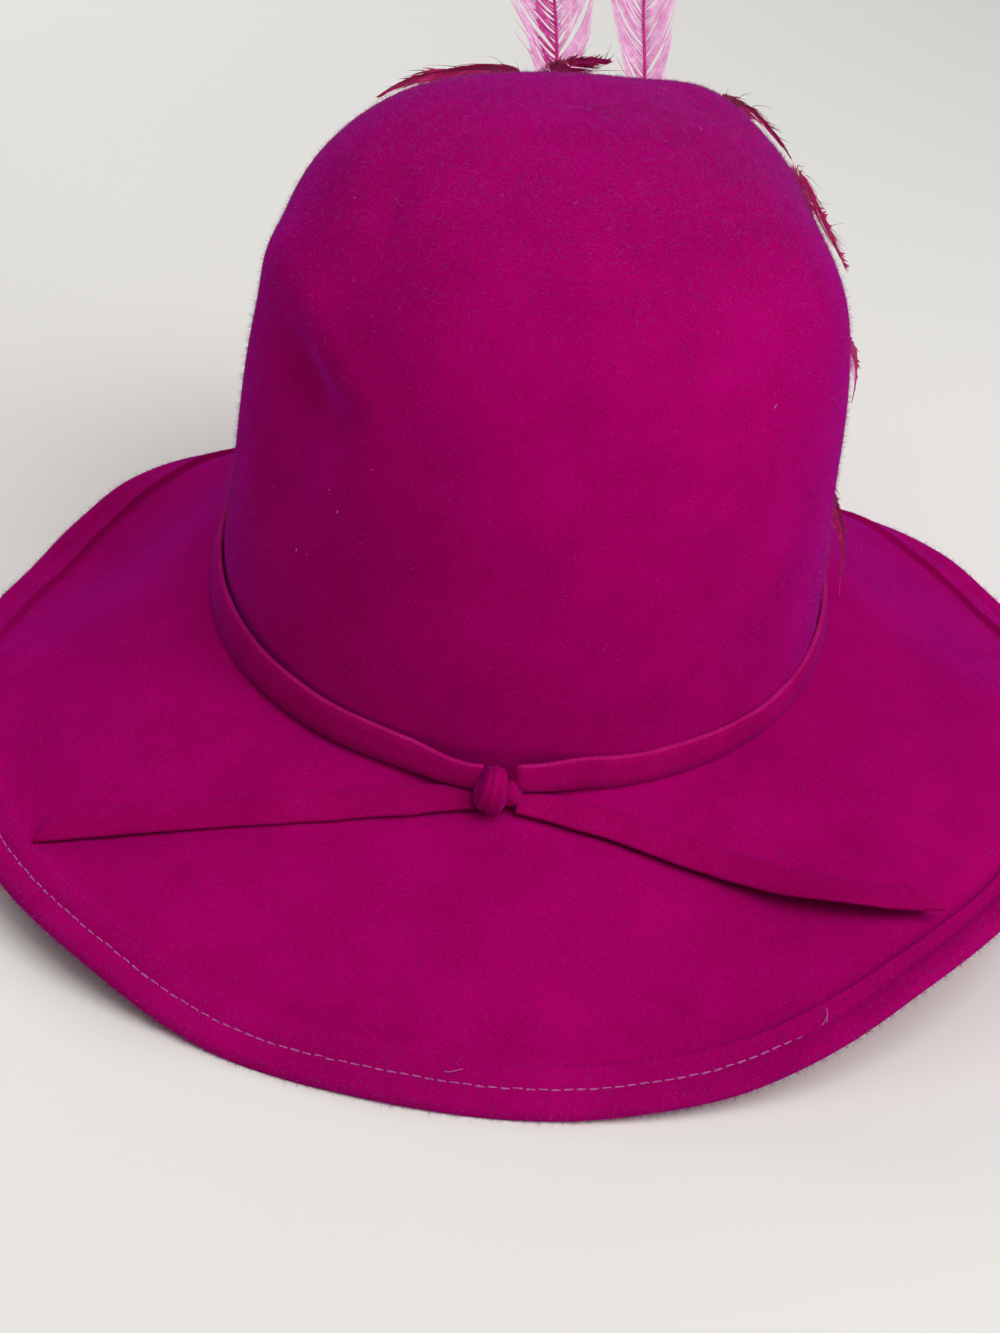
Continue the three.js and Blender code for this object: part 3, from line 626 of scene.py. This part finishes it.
def barrel(centre, half_width, half_depth, half_height, tilt, creases, seed):
    """A rolled strip: rings round the x axis, closed at both ends."""
    rings = []
    angles = np.linspace(0, 2 * np.pi, 49)[:-1]
    for share in np.linspace(-0.985, 0.985, 25):
        round_off = (1 - abs(share) ** 3.2) ** (1 / 2.4)
        crease = 1 + creases * np.cos(3.2 * np.pi * share + 1.2 * np.sin(angles))
        across = half_width * share * (1 - 0.16 * np.sin(angles))
        deep = half_depth * round_off * crease * np.cos(angles)
        tall = half_height * round_off * crease * np.sin(angles)
        x = across * math.cos(tilt) + tall * math.sin(tilt)
        z = tall * math.cos(tilt) - across * math.sin(tilt)
        ring = np.stack([x, deep, z], -1) + centre
        rings.append(ring + wandering(ring, 0.16, 2.6, seed)[:, None])
    return rings_to_mesh(rings)


knot_centre = np.array([KNOT["x"], KNOT["y"], KNOT["z"]])
knot_parts = [
    barrel(knot_centre, KNOT["half_width"], KNOT["half_depth"], KNOT["half_height"],
           KNOT_TILT, 0.035, 4.0),
    barrel(knot_centre + UNDER_STRIP["offset"], *UNDER_STRIP["half_sizes"], -KNOT_TILT, 0.015, 9.0),
]
knot = make_piece("felt_knot", *gather(knot_parts), [band_felt])
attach(knot, "root")
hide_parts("knot")

# Tails: the band's free ends, cut on a slant. The left one lies flat along the
# brim, the right one arches clear of it and ends on the hem.
TAIL_WIDTH = 8.4
TAIL_THICK = 1.4
TAIL_STEPS = 150
# The knot pinches a tail, and the slanted cut takes its last tenth.
TAIL_PINCH, TAIL_OPENS, TAIL_SLANT_FROM = 0.72, 7, 0.9
CURL_AT, CURL_SPREAD = 0.78, 0.15
TAIL_ROWS = [(name, float) for name in ("x", "y", "lift")]
TAIL_LEFT = np.array(
    [(-5.9, -108.7, 1.2), (-14, -109.2, 1.0), (-26, -110.3, 0.8), (-45, -111.9, 0.6),
     (-66, -114.2, 0.5), (-92, -116.1, 0.5), (-113, -116.6, 0.5)],
    dtype=TAIL_ROWS,
)
TAIL_RIGHT = np.array(
    [(4.7, -108.7, 1.2), (14, -109.2, 1.4), (24, -110.3, 1.4), (34, -112.2, 1.4),
     (46, -115.2, 1.6), (55, -117.7, 1.8), (64, -120.7, 2.3), (72.5, -123.7, 2.6),
     (81, -126.3, 2.6), (89, -128.0, 2.4), (99, -128.6, 2.2), (108, -128.4, 2.8)],
    dtype=TAIL_ROWS,
)


def brim_place(x, y):
    """The brim's turn and along under level points, found by halving."""
    guess = np.degrees(np.arctan2(x, -y))
    low, high = guess - 20, guess + 20

    def off(turn):
        foot, edge = crown_face(turn, 0), brim_edge(turn)
        return (x - foot[..., 0]) * (edge[..., 1] - foot[..., 1]) - (y - foot[..., 1]) * (
            edge[..., 0] - foot[..., 0]
        )

    sign = np.sign(off(low))
    for _ in range(30):
        middle = (low + high) / 2
        same = np.sign(off(middle)) == sign
        low, high = np.where(same, middle, low), np.where(same, high, middle)
    foot, edge = crown_face(low, 0)[..., :2], brim_edge(low)[..., :2]
    along = np.linalg.norm(np.stack([x, y], -1) - foot, axis=-1)
    return low, along / np.linalg.norm(edge - foot, axis=-1)


def brim_normal(turn, along):
    out = brim_face(turn, along + 0.01) - brim_face(turn, along - 0.01)
    across = brim_face(turn + 0.5, along) - brim_face(turn - 0.5, along)
    normal = np.cross(out, across)
    return normal / np.linalg.norm(normal, axis=-1, keepdims=True)


def smooth_line(points, count):
    """Evenly spaced points on a smooth line through the given ones, and tangents."""
    points = np.asarray(points, float)
    ends = np.vstack([2 * points[0] - points[1], points, 2 * points[-1] - points[-2]])
    dense = []
    for k in range(len(points) - 1):
        p0, p1, p2, p3 = ends[k : k + 4]
        d0, d1, d2 = (np.linalg.norm(b - a) ** 0.5 for a, b in ((p0, p1), (p1, p2), (p2, p3)))
        m1 = ((p1 - p0) / d0 - (p2 - p0) / (d0 + d1) + (p2 - p1) / d1) * d1
        m2 = ((p2 - p1) / d1 - (p3 - p1) / (d1 + d2) + (p3 - p2) / d2) * d1
        t = np.linspace(0, 1, 60, endpoint=k == len(points) - 2)[:, None]
        dense.append(
            (2 * t**3 - 3 * t**2 + 1) * p1 + (t**3 - 2 * t**2 + t) * m1
            + (3 * t**2 - 2 * t**3) * p2 + (t**3 - t**2) * m2
        )
    dense = np.vstack(dense)
    length = line_lengths(dense)
    even = np.linspace(0, length[-1], count)
    line = np.stack([np.interp(even, length, dense[:, axis]) for axis in range(3)], -1)
    tangents = np.gradient(line, axis=0)
    tangents /= np.linalg.norm(tangents, axis=1, keepdims=True)
    return line, tangents, length[-1]


def make_tail(name, node, table, slant, seed, curl=0.0):
    """A tail; curl lifts its front edge where it arches off the brim."""
    turn, along = brim_place(table["x"], table["y"])
    knots = brim_face(turn, along) + brim_normal(turn, along) * (
        table["lift"] + TAIL_THICK / 2
    )[:, None]
    centre, tangent, _ = smooth_line(knots, TAIL_STEPS)
    turn, along = brim_place(centre[:, 0], centre[:, 1])
    normal = brim_normal(turn, along)
    side = np.cross(normal, tangent)
    side *= -np.sign(side[:, 1:2])
    side /= np.linalg.norm(side, axis=1, keepdims=True)
    face = np.cross(tangent, side)
    face *= np.sign(face[:, 2:3])
    share = np.linspace(0, 1, TAIL_STEPS)
    half = TAIL_WIDTH / 2 * np.clip(TAIL_PINCH + (1 - TAIL_PINCH) * share * TAIL_OPENS, 0, 1)
    skew = slant * np.maximum(0, share - TAIL_SLANT_FROM) / (1 - TAIL_SLANT_FROM)
    edge_wave = wandering(centre, 0.16, 9, seed)
    front = centre + side * (half + edge_wave)[:, None]
    back = centre - side * (half - edge_wave)[:, None] - tangent * skew[:, None]
    back -= face * TAIL_THICK / 2
    lifted = curl * np.exp(-(((share - CURL_AT) / CURL_SPREAD) ** 2))
    front += face * (lifted - TAIL_THICK / 2)[:, None]
    rings = strip_section(back, front, face, TAIL_THICK)
    tail = make_piece(name, *rings_to_mesh(list(rings)), [band_felt])
    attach(tail, "root")
    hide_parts(node)


make_tail("felt_tail_left", "tail_left", TAIL_LEFT, slant=4, seed=2.0)
make_tail("felt_tail_right", "tail_right", TAIL_RIGHT, slant=9, seed=6.0, curl=3.2)

# Feather pad: a small domed oval of felt sewn on the crown's back, which holds
# the quills fanned round its rim.
PAD = dict(turn=173.0, rise=19.5, half_width=12.0, half_height=9.0, seat=0.4, thick=3.0)


def pad_point(angle, share, beyond, lift):
    reach_here = np.linalg.norm(crown_face(PAD["turn"], PAD["rise"])[:2])
    across = (PAD["half_width"] * share + beyond) * np.cos(angle)
    up = (PAD["half_height"] * share + beyond) * np.sin(angle)
    turn = PAD["turn"] - np.degrees(across / reach_here)
    lift = np.asarray(lift) * np.ones_like(turn)
    return crown_face(turn, PAD["rise"] + up) + outward(turn) * lift[..., None]


pad_angles = np.linspace(0, 2 * np.pi, 73)[:-1]
pad_profile = [(share, PAD["seat"] + 1.2 + 1.8 * (1 - share**2.6) ** 0.55)
               for share in (0.05, 0.2, 0.35, 0.5, 0.62, 0.74, 0.84, 0.91, 0.96, 0.99)]
pad_profile += [(1, PAD["seat"] + 1.1), (1.0, PAD["seat"] + 0.4), (0.96, PAD["seat"])]
pad_profile += [(0.6, PAD["seat"]), (0.1, PAD["seat"])]
pad_rings = []
for share, lift in pad_profile:
    ring = pad_point(pad_angles, share, 0, lift)
    pad_rings.append(ring + outward(PAD["turn"]) * wandering(ring, 0.14, 5, 12.0)[:, None])
pad = make_piece("felt_pad", *rings_to_mesh(pad_rings), [band_felt])
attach(pad, "root")
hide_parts("feather_pad")

# Feathers: dyed plumes and hackles. Each is a horny tapering rachis with barbs
# combed out of both sides at a shallow angle, clumped in locks, their tips
# frayed. Barbs are 0.05 mm; they are drawn 0.6 to 0.9 mm broad, as locks of many.
QUILL = dict(clear=0.6, lift=1.1)
STEM_RADIUS = 0.85
LINE_STEPS = 400
BARB_STEPS = 7
# How broad and flat a barb is from its root to its tip, and the length of one lock.
BARB_TAPER = np.array([0.8, 1, 1, 0.9, 0.7, 0.45, 0.12])
BARB_FLAT = 0.16
LOCKS, LOCK_LENGTH = 64, 9.5


def dyed_barbs(name, dark, light, painted_glow, roughness=0.5, sheen=0.4):
    """Acid-dyed feather barbs: satin, streaked, and so thin that the pale room
    behind them shines through, which the translucent share draws. They also glow in their
    own colour at the emission strength given: painted light that keeps them bright in shade."""
    material = new_material(name)
    place = add_node(material, "ShaderNodeTexCoord").outputs["Object"]
    streak = add_node(
        material, "ShaderNodeTexNoise",
        {"Vector": place, "Scale": 1 / (2.4 * MM), "Detail": 4.0, "Roughness": 0.65},
    )
    ramp = add_node(material, "ShaderNodeValToRGB", {"Fac": streak.outputs["Fac"]})
    ramp.color_ramp.elements[0].position = 0.35
    ramp.color_ramp.elements[0].color = linear(dark)
    ramp.color_ramp.elements[1].position = 0.65
    ramp.color_ramp.elements[1].color = linear(light)
    surface = add_node(
        material, "ShaderNodeBsdfPrincipled",
        {"Base Color": ramp.outputs["Color"], "Roughness": roughness, "Sheen Weight": sheen,
         "Specular IOR Level": 0.35, "Emission Color": ramp.outputs["Color"],
         "Emission Strength": painted_glow},
    )
    glow = add_node(material, "ShaderNodeBsdfTranslucent", {"Color": ramp.outputs["Color"]})
    mixed = add_node(
        material, "ShaderNodeMixShader",
        {0: 0.4, 1: surface.outputs["BSDF"], 2: glow.outputs["BSDF"]},
    )
    add_node(material, "ShaderNodeOutputMaterial", {"Surface": mixed.outputs["Shader"]})
    return material


# Each of these glows faintly in its own colour: painted light.
barb_pink = dyed_barbs("dyed plume barbs, vivid pink", "#d0209c", "#f070c8", 0.3)
barb_pale = dyed_barbs("dyed plume barbs, pale pink", "#f2b4e0", "#fbdcf4", 0.34)
barb_maroon = dyed_barbs("dyed hackle barbs, maroon", "#90084e", "#c4146c", 0.34, 0.34)
barb_red = dyed_barbs("dyed hackle barbs, red magenta", "#ba0a68", "#ea40a0", 0.36, 0.34)
barb_black = dyed_barbs("hackle barb tips, near black", "#3a1428", "#5a1c3c", 0.1, 0.45)
quill_horn = dyed_barbs("dyed quill horn", "#c0188c", "#e04cac", 0.34, 0.35, 0.0)


crown_tree = kdtree.KDTree(CROWN_ROWS * AROUND)
for index, point in enumerate(crown_grid.reshape(-1, 3)):
    crown_tree.insert(point, index)
crown_tree.balance()
crown_normals = outer_normals[:CROWN_ROWS].reshape(-1, 3)


def settle(points, limit, weight):
    """Lay points down on the crown's back, so that none stands off it by limit."""
    settled = []
    for point, share in zip(points, weight):
        near, index, _ = crown_tree.find(point)
        normal = crown_normals[index]
        height = float((point - np.array(near)) @ normal)
        rest = max(limit * (1 - math.exp(-max(height, 0) / limit)), 0.35)
        settled.append(point + normal * (rest - height) * share)
    return np.array(settled)


def make_feather(name, node, fan, points, half_width, bare, fullest, barbs, seed,
                 gap, lean, broad, tips=None, loose=0.1, standing=0.0, inner=None, hug=None):
    """One feather: fan is its quill's angle round the pad, bare the share of it without
    barbs, fullest where its vanes are widest, barbs the materials of its two vanes, inner
    one that the second vane has close to the rachis; hug keeps it on the crown."""
    luck = np.random.default_rng(seed)
    root_point = pad_point(math.radians(fan), 1, QUILL["clear"], QUILL["lift"])
    line, tangent, length = smooth_line([root_point] + list(points), LINE_STEPS)
    share = np.linspace(0, 1, LINE_STEPS)
    if hug is not None:
        line = settle(line, hug * 0.6, np.clip((share - 0.35) * 5, 0, 1))
        tangent = np.gradient(line, axis=0)
        tangent /= np.linalg.norm(tangent, axis=1, keepdims=True)
    axis_point = np.stack([0 * line[:, 0], 0 * line[:, 0], np.minimum(line[:, 2], 110)], -1)
    face = line - axis_point
    face -= tangent * np.sum(face * tangent, axis=1, keepdims=True)
    face /= np.linalg.norm(face, axis=1, keepdims=True)
    side = np.cross(tangent, face)
    peak = math.log(0.5) / math.log(fullest)

    def vane(at):
        t = np.clip((at - bare) / (1 - bare), 0, 1)
        return half_width * np.maximum(np.sin(np.pi * t**peak), 0) ** 0.8

    def on(at, lateral, lift):
        at = np.clip(at, 0, 1)
        spot = []
        for grid in (line, side, face):
            spot.append(np.stack([np.interp(at, share, grid[:, k]) for k in range(3)], -1))
        return spot[0] + spot[1] * lateral[:, None] + spot[2] * lift[:, None], spot[2]

    parts, used = [], []

    def grow(rings, index):
        part = rings_to_mesh(rings)
        parts.append(part)
        used.extend([index] * len(part[1]))

    stem = np.linspace(0, 0.985, 60)
    stem_line, stem_face = on(stem, 0 * stem, 0 * stem)
    grow(tube(stem_line, STEM_RADIUS * (1 - stem) ** 0.8 + 0.12, 8, (stem_face, 0.8)), 0)
    steps = np.linspace(0, 1, BARB_STEPS)
    lock_lean = luck.normal(0, 4.0, (2, LOCKS))
    lock_long = luck.uniform(0.86, 1.06, (2, LOCKS))
    first = bare * length - 2
    for k in range(int((length * 0.985 - first) / gap)):
        for wing, sign in enumerate((-1, 1)):
            at = (first + k * gap + luck.uniform(-0.2, 0.2)) / length
            lock = int(at * length / LOCK_LENGTH + wing * 0.5) % LOCKS
            stray = luck.random() < loose
            angle = math.radians(lean + lock_lean[wing, lock] + stray * luck.normal(0, 9))
            ahead = min(at + 0.6 * vane(at) / math.tan(angle) / length, 0.999)
            width = max(vane(ahead) * lock_long[wing, lock] * luck.uniform(0.93, 1.05), 0.8)
            if stray:
                width *= luck.uniform(0.9, 1.22)
            out = width * (steps * 1.18 - 0.18 * steps**2)
            climb = width / math.tan(angle) * (0.62 * steps + 0.38 * steps**2)
            lift = -0.05 * out**2 / max(half_width, 1) + luck.normal(0, 0.06)
            lift = lift + stray * luck.uniform(0, 1.4) * steps**2
            spot, spot_face = on(at + climb / length, sign * out, lift)
            if hug is not None and at < 0.84:
                spot = settle(spot, hug, np.full(BARB_STEPS, min(max((at - 0.3) * 5, 0), 1)))
            if luck.random() < standing:
                rise = luck.uniform(1.5, 4.0) * steps[:, None] ** 1.5
                grow(tube(spot + spot_face * rise, 0.14 * (1.1 - steps), 4), 3)
                continue
            broad_here = broad * BARB_TAPER
            index = 1 + wing
            if tips is not None and luck.random() < tips:
                grow(tube(spot[:5], broad_here[:5], 4, (spot_face[:5], BARB_FLAT)), index)
                grow(tube(spot[4:], broad_here[4:] * 0.5, 4, (spot_face[4:], 0.3)), 3)
            elif inner is not None and wing == 1:
                grow(tube(spot[:3], broad_here[:3], 4, (spot_face[:3], BARB_FLAT)), 4)
                grow(tube(spot[2:], broad_here[2:], 4, (spot_face[2:], BARB_FLAT)), index)
            else:
                grow(tube(spot, broad_here, 4, (spot_face, BARB_FLAT)), index)
    materials = [quill_horn, barbs[0], barbs[1], barb_black, inner or barbs[0]]
    feather = make_piece(name, *gather(parts), materials, used)
    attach(feather, "root")
    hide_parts(node)


make_feather(
    "plume_left_barbs", "plume_left", 120,
    [(1, 104.6, 100), (-4, 101.5, 130), (-5.5, 97, 156), (-8.5, 97.5, 177), (-15, 101, 200),
     (-26, 108, 221)],
    16, 0.3, 0.66, (barb_pale, barb_pale), 1, gap=0.9, lean=28, broad=0.3, loose=0.4,
    inner=barb_pink,
)
make_feather(
    "plume_right_barbs", "plume_right", 77,
    [(18, 103.8, 100), (21, 99.5, 130), (21, 95.5, 156), (18, 97, 179), (19, 101, 202),
     (25, 107, 224)],
    12.5, 0.3, 0.64, (barb_pale, barb_pale), 2, gap=0.8, lean=28, broad=0.3, loose=0.35,
)
make_feather(
    "hackle_left_barbs", "hackle_left", 150,
    [(-9, 101.8, 92), (-13, 98, 118), (-15, 87, 142), (-18, 73, 159), (-26, 58, 167),
     (-38, 49, 167.2), (-48, 44.5, 164), (-56, 41.5, 159.5)],
    6, 0.22, 0.6, (barb_maroon, barb_red), 3, gap=0.45, lean=22, broad=0.46, tips=0.12,
    loose=0.08, standing=0.06, hug=4.6,
)
make_feather(
    "hackle_right_barbs", "hackle_right", 98,
    [(4, 101.8, 100), (3, 97, 125), (0, 87, 148), (-3, 72, 163), (0, 61, 170), (5, 55, 173.5),
     (11, 51.5, 176)],
    7.5, 0.25, 0.62, (barb_maroon, barb_maroon), 4, gap=0.45, lean=27, broad=0.4, tips=0.45,
    loose=0.22, standing=0.05, hug=12.0,
)
make_feather(
    "hackle_shoulder_barbs", "hackle_shoulder", 50,
    [(33, 97.5, 98), (41, 88, 123), (45, 75, 146), (46, 60, 161), (47, 45, 168),
     (51, 33.5, 168.2), (57.2, 31.5, 162.8), (62, 31.5, 157.2)],
    6, 0.2, 0.6, (barb_red, barb_maroon), 5, gap=0.45, lean=22, broad=0.44, tips=0.15,
    loose=0.18, standing=0.04, hug=8.0,
)
make_feather(
    "hackle_side_barbs", "hackle_side", 27,
    [(42, 94, 90), (60, 78.5, 112), (67, 60, 131), (68, 43, 146), (67.3, 28, 150.4),
     (70.5, 19.5, 147.4), (72.4, 7, 146.8), (73.8, -3, 145.4), (76, -11, 142.6)],
    7.5, 0.2, 0.6, (barb_red, barb_red), 6, gap=0.45, lean=24, broad=0.44, tips=0.12,
    loose=0.2, standing=0.04, hug=16.0,
)
make_feather(
    "hackle_low_barbs", "hackle_low", 1,
    [(48, 91.5, 77), (69, 69, 92), (81.4, 42, 104), (85.2, 16, 109.5), (84.6, -2, 110),
     (82.8, -13, 106.5)],
    5, 0.2, 0.55, (barb_pale, barb_red), 7, gap=0.7, lean=24, broad=0.4, tips=0.1,
)
make_feather(
    "hackle_brim_barbs", "hackle_brim", -21,
    [(49, 92.5, 61), (73.5, 69.5, 59.5), (87, 40, 57.5), (91.6, 15, 56.3), (91.6, 0, 54.5),
     (90.4, -12, 50.5)],
    5, 0.2, 0.55, (barb_red, barb_maroon), 8, gap=0.7, lean=24, broad=0.4, tips=0.3,
)

# Nap: loose wool fibres brushed up from the felt, which soften its outline.
# Wool is 0.02 mm thick; the fibres are drawn 0.08 mm so that they show.
nap = new_material("loose wool fibres")
nap_place = add_node(nap, "ShaderNodeTexCoord").outputs["Object"]
nap_shade = add_node(nap, "ShaderNodeTexNoise", {"Vector": nap_place, "Scale": 1 / (3 * MM)})
nap_ramp = add_node(nap, "ShaderNodeValToRGB", {"Fac": nap_shade.outputs["Fac"]})
nap_ramp.color_ramp.elements[0].position = 0.35
nap_ramp.color_ramp.elements[0].color = linear("#980870")
nap_ramp.color_ramp.elements[1].position = 0.7
nap_ramp.color_ramp.elements[1].color = linear("#b82c9e")
nap_surface = add_node(
    nap, "ShaderNodeBsdfPrincipled",
    {"Base Color": nap_ramp.outputs["Color"], "Roughness": 0.9, "Sheen Weight": 0.2,
     "Sheen Tint": linear("#a030c8")},
)
add_node(nap, "ShaderNodeOutputMaterial", {"Surface": nap_surface.outputs["BSDF"]})


def make_nap(name, grid, normals, count, seed, density, wool=nap, thin=0.044, stand=0.35,
             longest=1.3):
    """Short fibres on a grid of rings, closer where density is high; thin is a fibre's
    half thickness at its root, stand how steeply it rises."""
    luck = np.random.default_rng(seed)
    rows, columns = grid.shape[:2]
    size = np.linalg.norm(np.gradient(grid, axis=0), axis=-1) * np.linalg.norm(
        np.roll(grid, -1, 1) - grid, axis=-1
    )
    size = size * density
    chosen = luck.choice(rows * columns, count, p=(size / size.sum()).ravel())
    base = grid.reshape(-1, 3)[chosen] + luck.normal(0, 0.6, (count, 3))
    up = normals.reshape(-1, 3)[chosen]
    base -= up * np.sum((base - grid.reshape(-1, 3)[chosen]) * up, axis=1, keepdims=True)
    wild = luck.normal(0, 1, (count, 3))
    flat = wild - up * np.sum(wild * up, axis=1, keepdims=True)
    flat /= np.linalg.norm(flat, axis=1, keepdims=True)
    curl = np.cross(up, flat)
    lengths = luck.uniform(0.3, 1.0, (count, 1)) * longest
    tip = base + lengths * (flat + up * stand * luck.uniform(0.3, 1.7, (count, 1)))
    points = np.zeros((count, 4, 3))
    for k in range(3):
        angle = 2 * math.pi * k / 3
        points[:, k] = base - up * 0.05 + (curl * math.cos(angle) + up * math.sin(angle)) * thin
    points[:, 3] = tip
    points[..., 2] = np.maximum(points[..., 2], 0)
    starts = np.arange(count)[:, None] * 4
    faces = np.concatenate([starts + side for side in ((0, 2, 1), (0, 1, 3), (1, 2, 3), (2, 0, 3))])
    fibres = make_piece(name, points.reshape(-1, 3), faces.tolist(), [wool])
    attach(fibres, "root")


# The crown's nap is thick on its top and thickest at the right, where light rakes it.
crown_part = (outer_grid[:CROWN_ROWS], outer_normals[:CROWN_ROWS])
brim_part = (outer_grid[BRIM_START:RAW_ROW], outer_normals[BRIM_START:RAW_ROW])
even = np.ones((1, AROUND))
crown_steps = np.clip((crown_rises - 92) / 36, 0, 1)[:, None]
right_side = np.clip((np.sin(np.radians(turns - 20)) + 0.2) / 1.2, 0, 1)[None]
make_nap("nap_crown", *crown_part, 30000, 21,
         0.025 + crown_steps**1.5 * (0.45 + 0.55 * right_side), stand=0.25, longest=2.2)
make_nap("nap_brim", *brim_part, 22000, 22, even)
make_nap("nap_hem", hem_grid, hem_normals, 12000, 23, even)
# Lint from a pale cloth: a few matte specks that catch the light on the dark felt.
lint = new_material("pale cotton lint")
lint_surface = add_node(
    lint, "ShaderNodeBsdfPrincipled", {"Base Color": linear("#e2a8cc"), "Roughness": 0.9},
)
add_node(lint, "ShaderNodeOutputMaterial", {"Surface": lint_surface.outputs["BSDF"]})
make_nap("lint_specks", *crown_part, 26, 24, even, wool=lint, thin=0.1)
# Fuzz stands up off the crown's sides and top and off the fold, where it is an outline.
beside = np.abs(np.sin(np.radians(turns)))[None] ** 3
make_nap("fuzz_crown", *crown_part, 25000, 25,
         beside + 0.6 * np.clip((crown_rises - 105) / 20, 0, 1)[:, None], stand=1.1, thin=0.045)
make_nap("fuzz_hem", np.stack(fold_rows), np.stack(fold_ways), 12000, 26, even,
         stand=1.2, thin=0.045)

# Studio: a plain pale floor and soft light from above and the right, with weaker
# fills from the left and behind, and one more over the floor behind the hat.
floor_mesh = bpy.data.meshes.new("floor")
floor_mesh.from_pydata([(-4, -3, 0), (4, -3, 0), (4, 6, 0), (-4, 6, 0)], [], [(0, 1, 2, 3)])
floor = bpy.data.objects.new("floor", floor_mesh)
bpy.context.scene.collection.objects.link(floor)
floor.location.z = -0.0002
# Matte paper: even and without shine, so the hat's shadow is all that it shows.
paper = new_material("matte pale studio paper")
paper_surface = add_node(
    paper, "ShaderNodeBsdfPrincipled", {"Base Color": linear("#f3f1ed"), "Roughness": 0.9},
)
add_node(paper, "ShaderNodeOutputMaterial", {"Surface": paper_surface.outputs["BSDF"]})
floor_mesh.materials.append(paper)


HAT_MIDDLE = (0, 0, 0.05)


def soft_light(name, place, watts, aim=HAT_MIDDLE, size=0.9):
    lamp = bpy.data.lights.new(name, "AREA")
    lamp.shape = "SQUARE"
    lamp.size = size
    lamp.energy = watts
    holder = bpy.data.objects.new(name, lamp)
    bpy.context.scene.collection.objects.link(holder)
    holder.location = place
    holder.rotation_euler = (Vector(aim) - Vector(place)).to_track_quat("-Z", "Y").to_euler()


soft_light("key_light", (0.56, -0.56, 1.27), 12.2)
soft_light("left_light", (-0.56, -0.56, 1.27), 3.8)
soft_light("right_light", (1.2, -0.55, 0.70), 6.0)
soft_light("back_light", (-0.94, 0.94, 0.70), 5.6)
soft_light("floor_light", (0.0, 1.4, 1.05), 5.0, aim=(0, 1.1, 0), size=1.0)
world = bpy.context.scene.world or bpy.data.worlds.new("studio")
bpy.context.scene.world = world
world.use_nodes = True
world.node_tree.nodes["Background"].inputs["Color"].default_value = linear("#f2f1ee")
world.node_tree.nodes["Background"].inputs["Strength"].default_value = 0.08
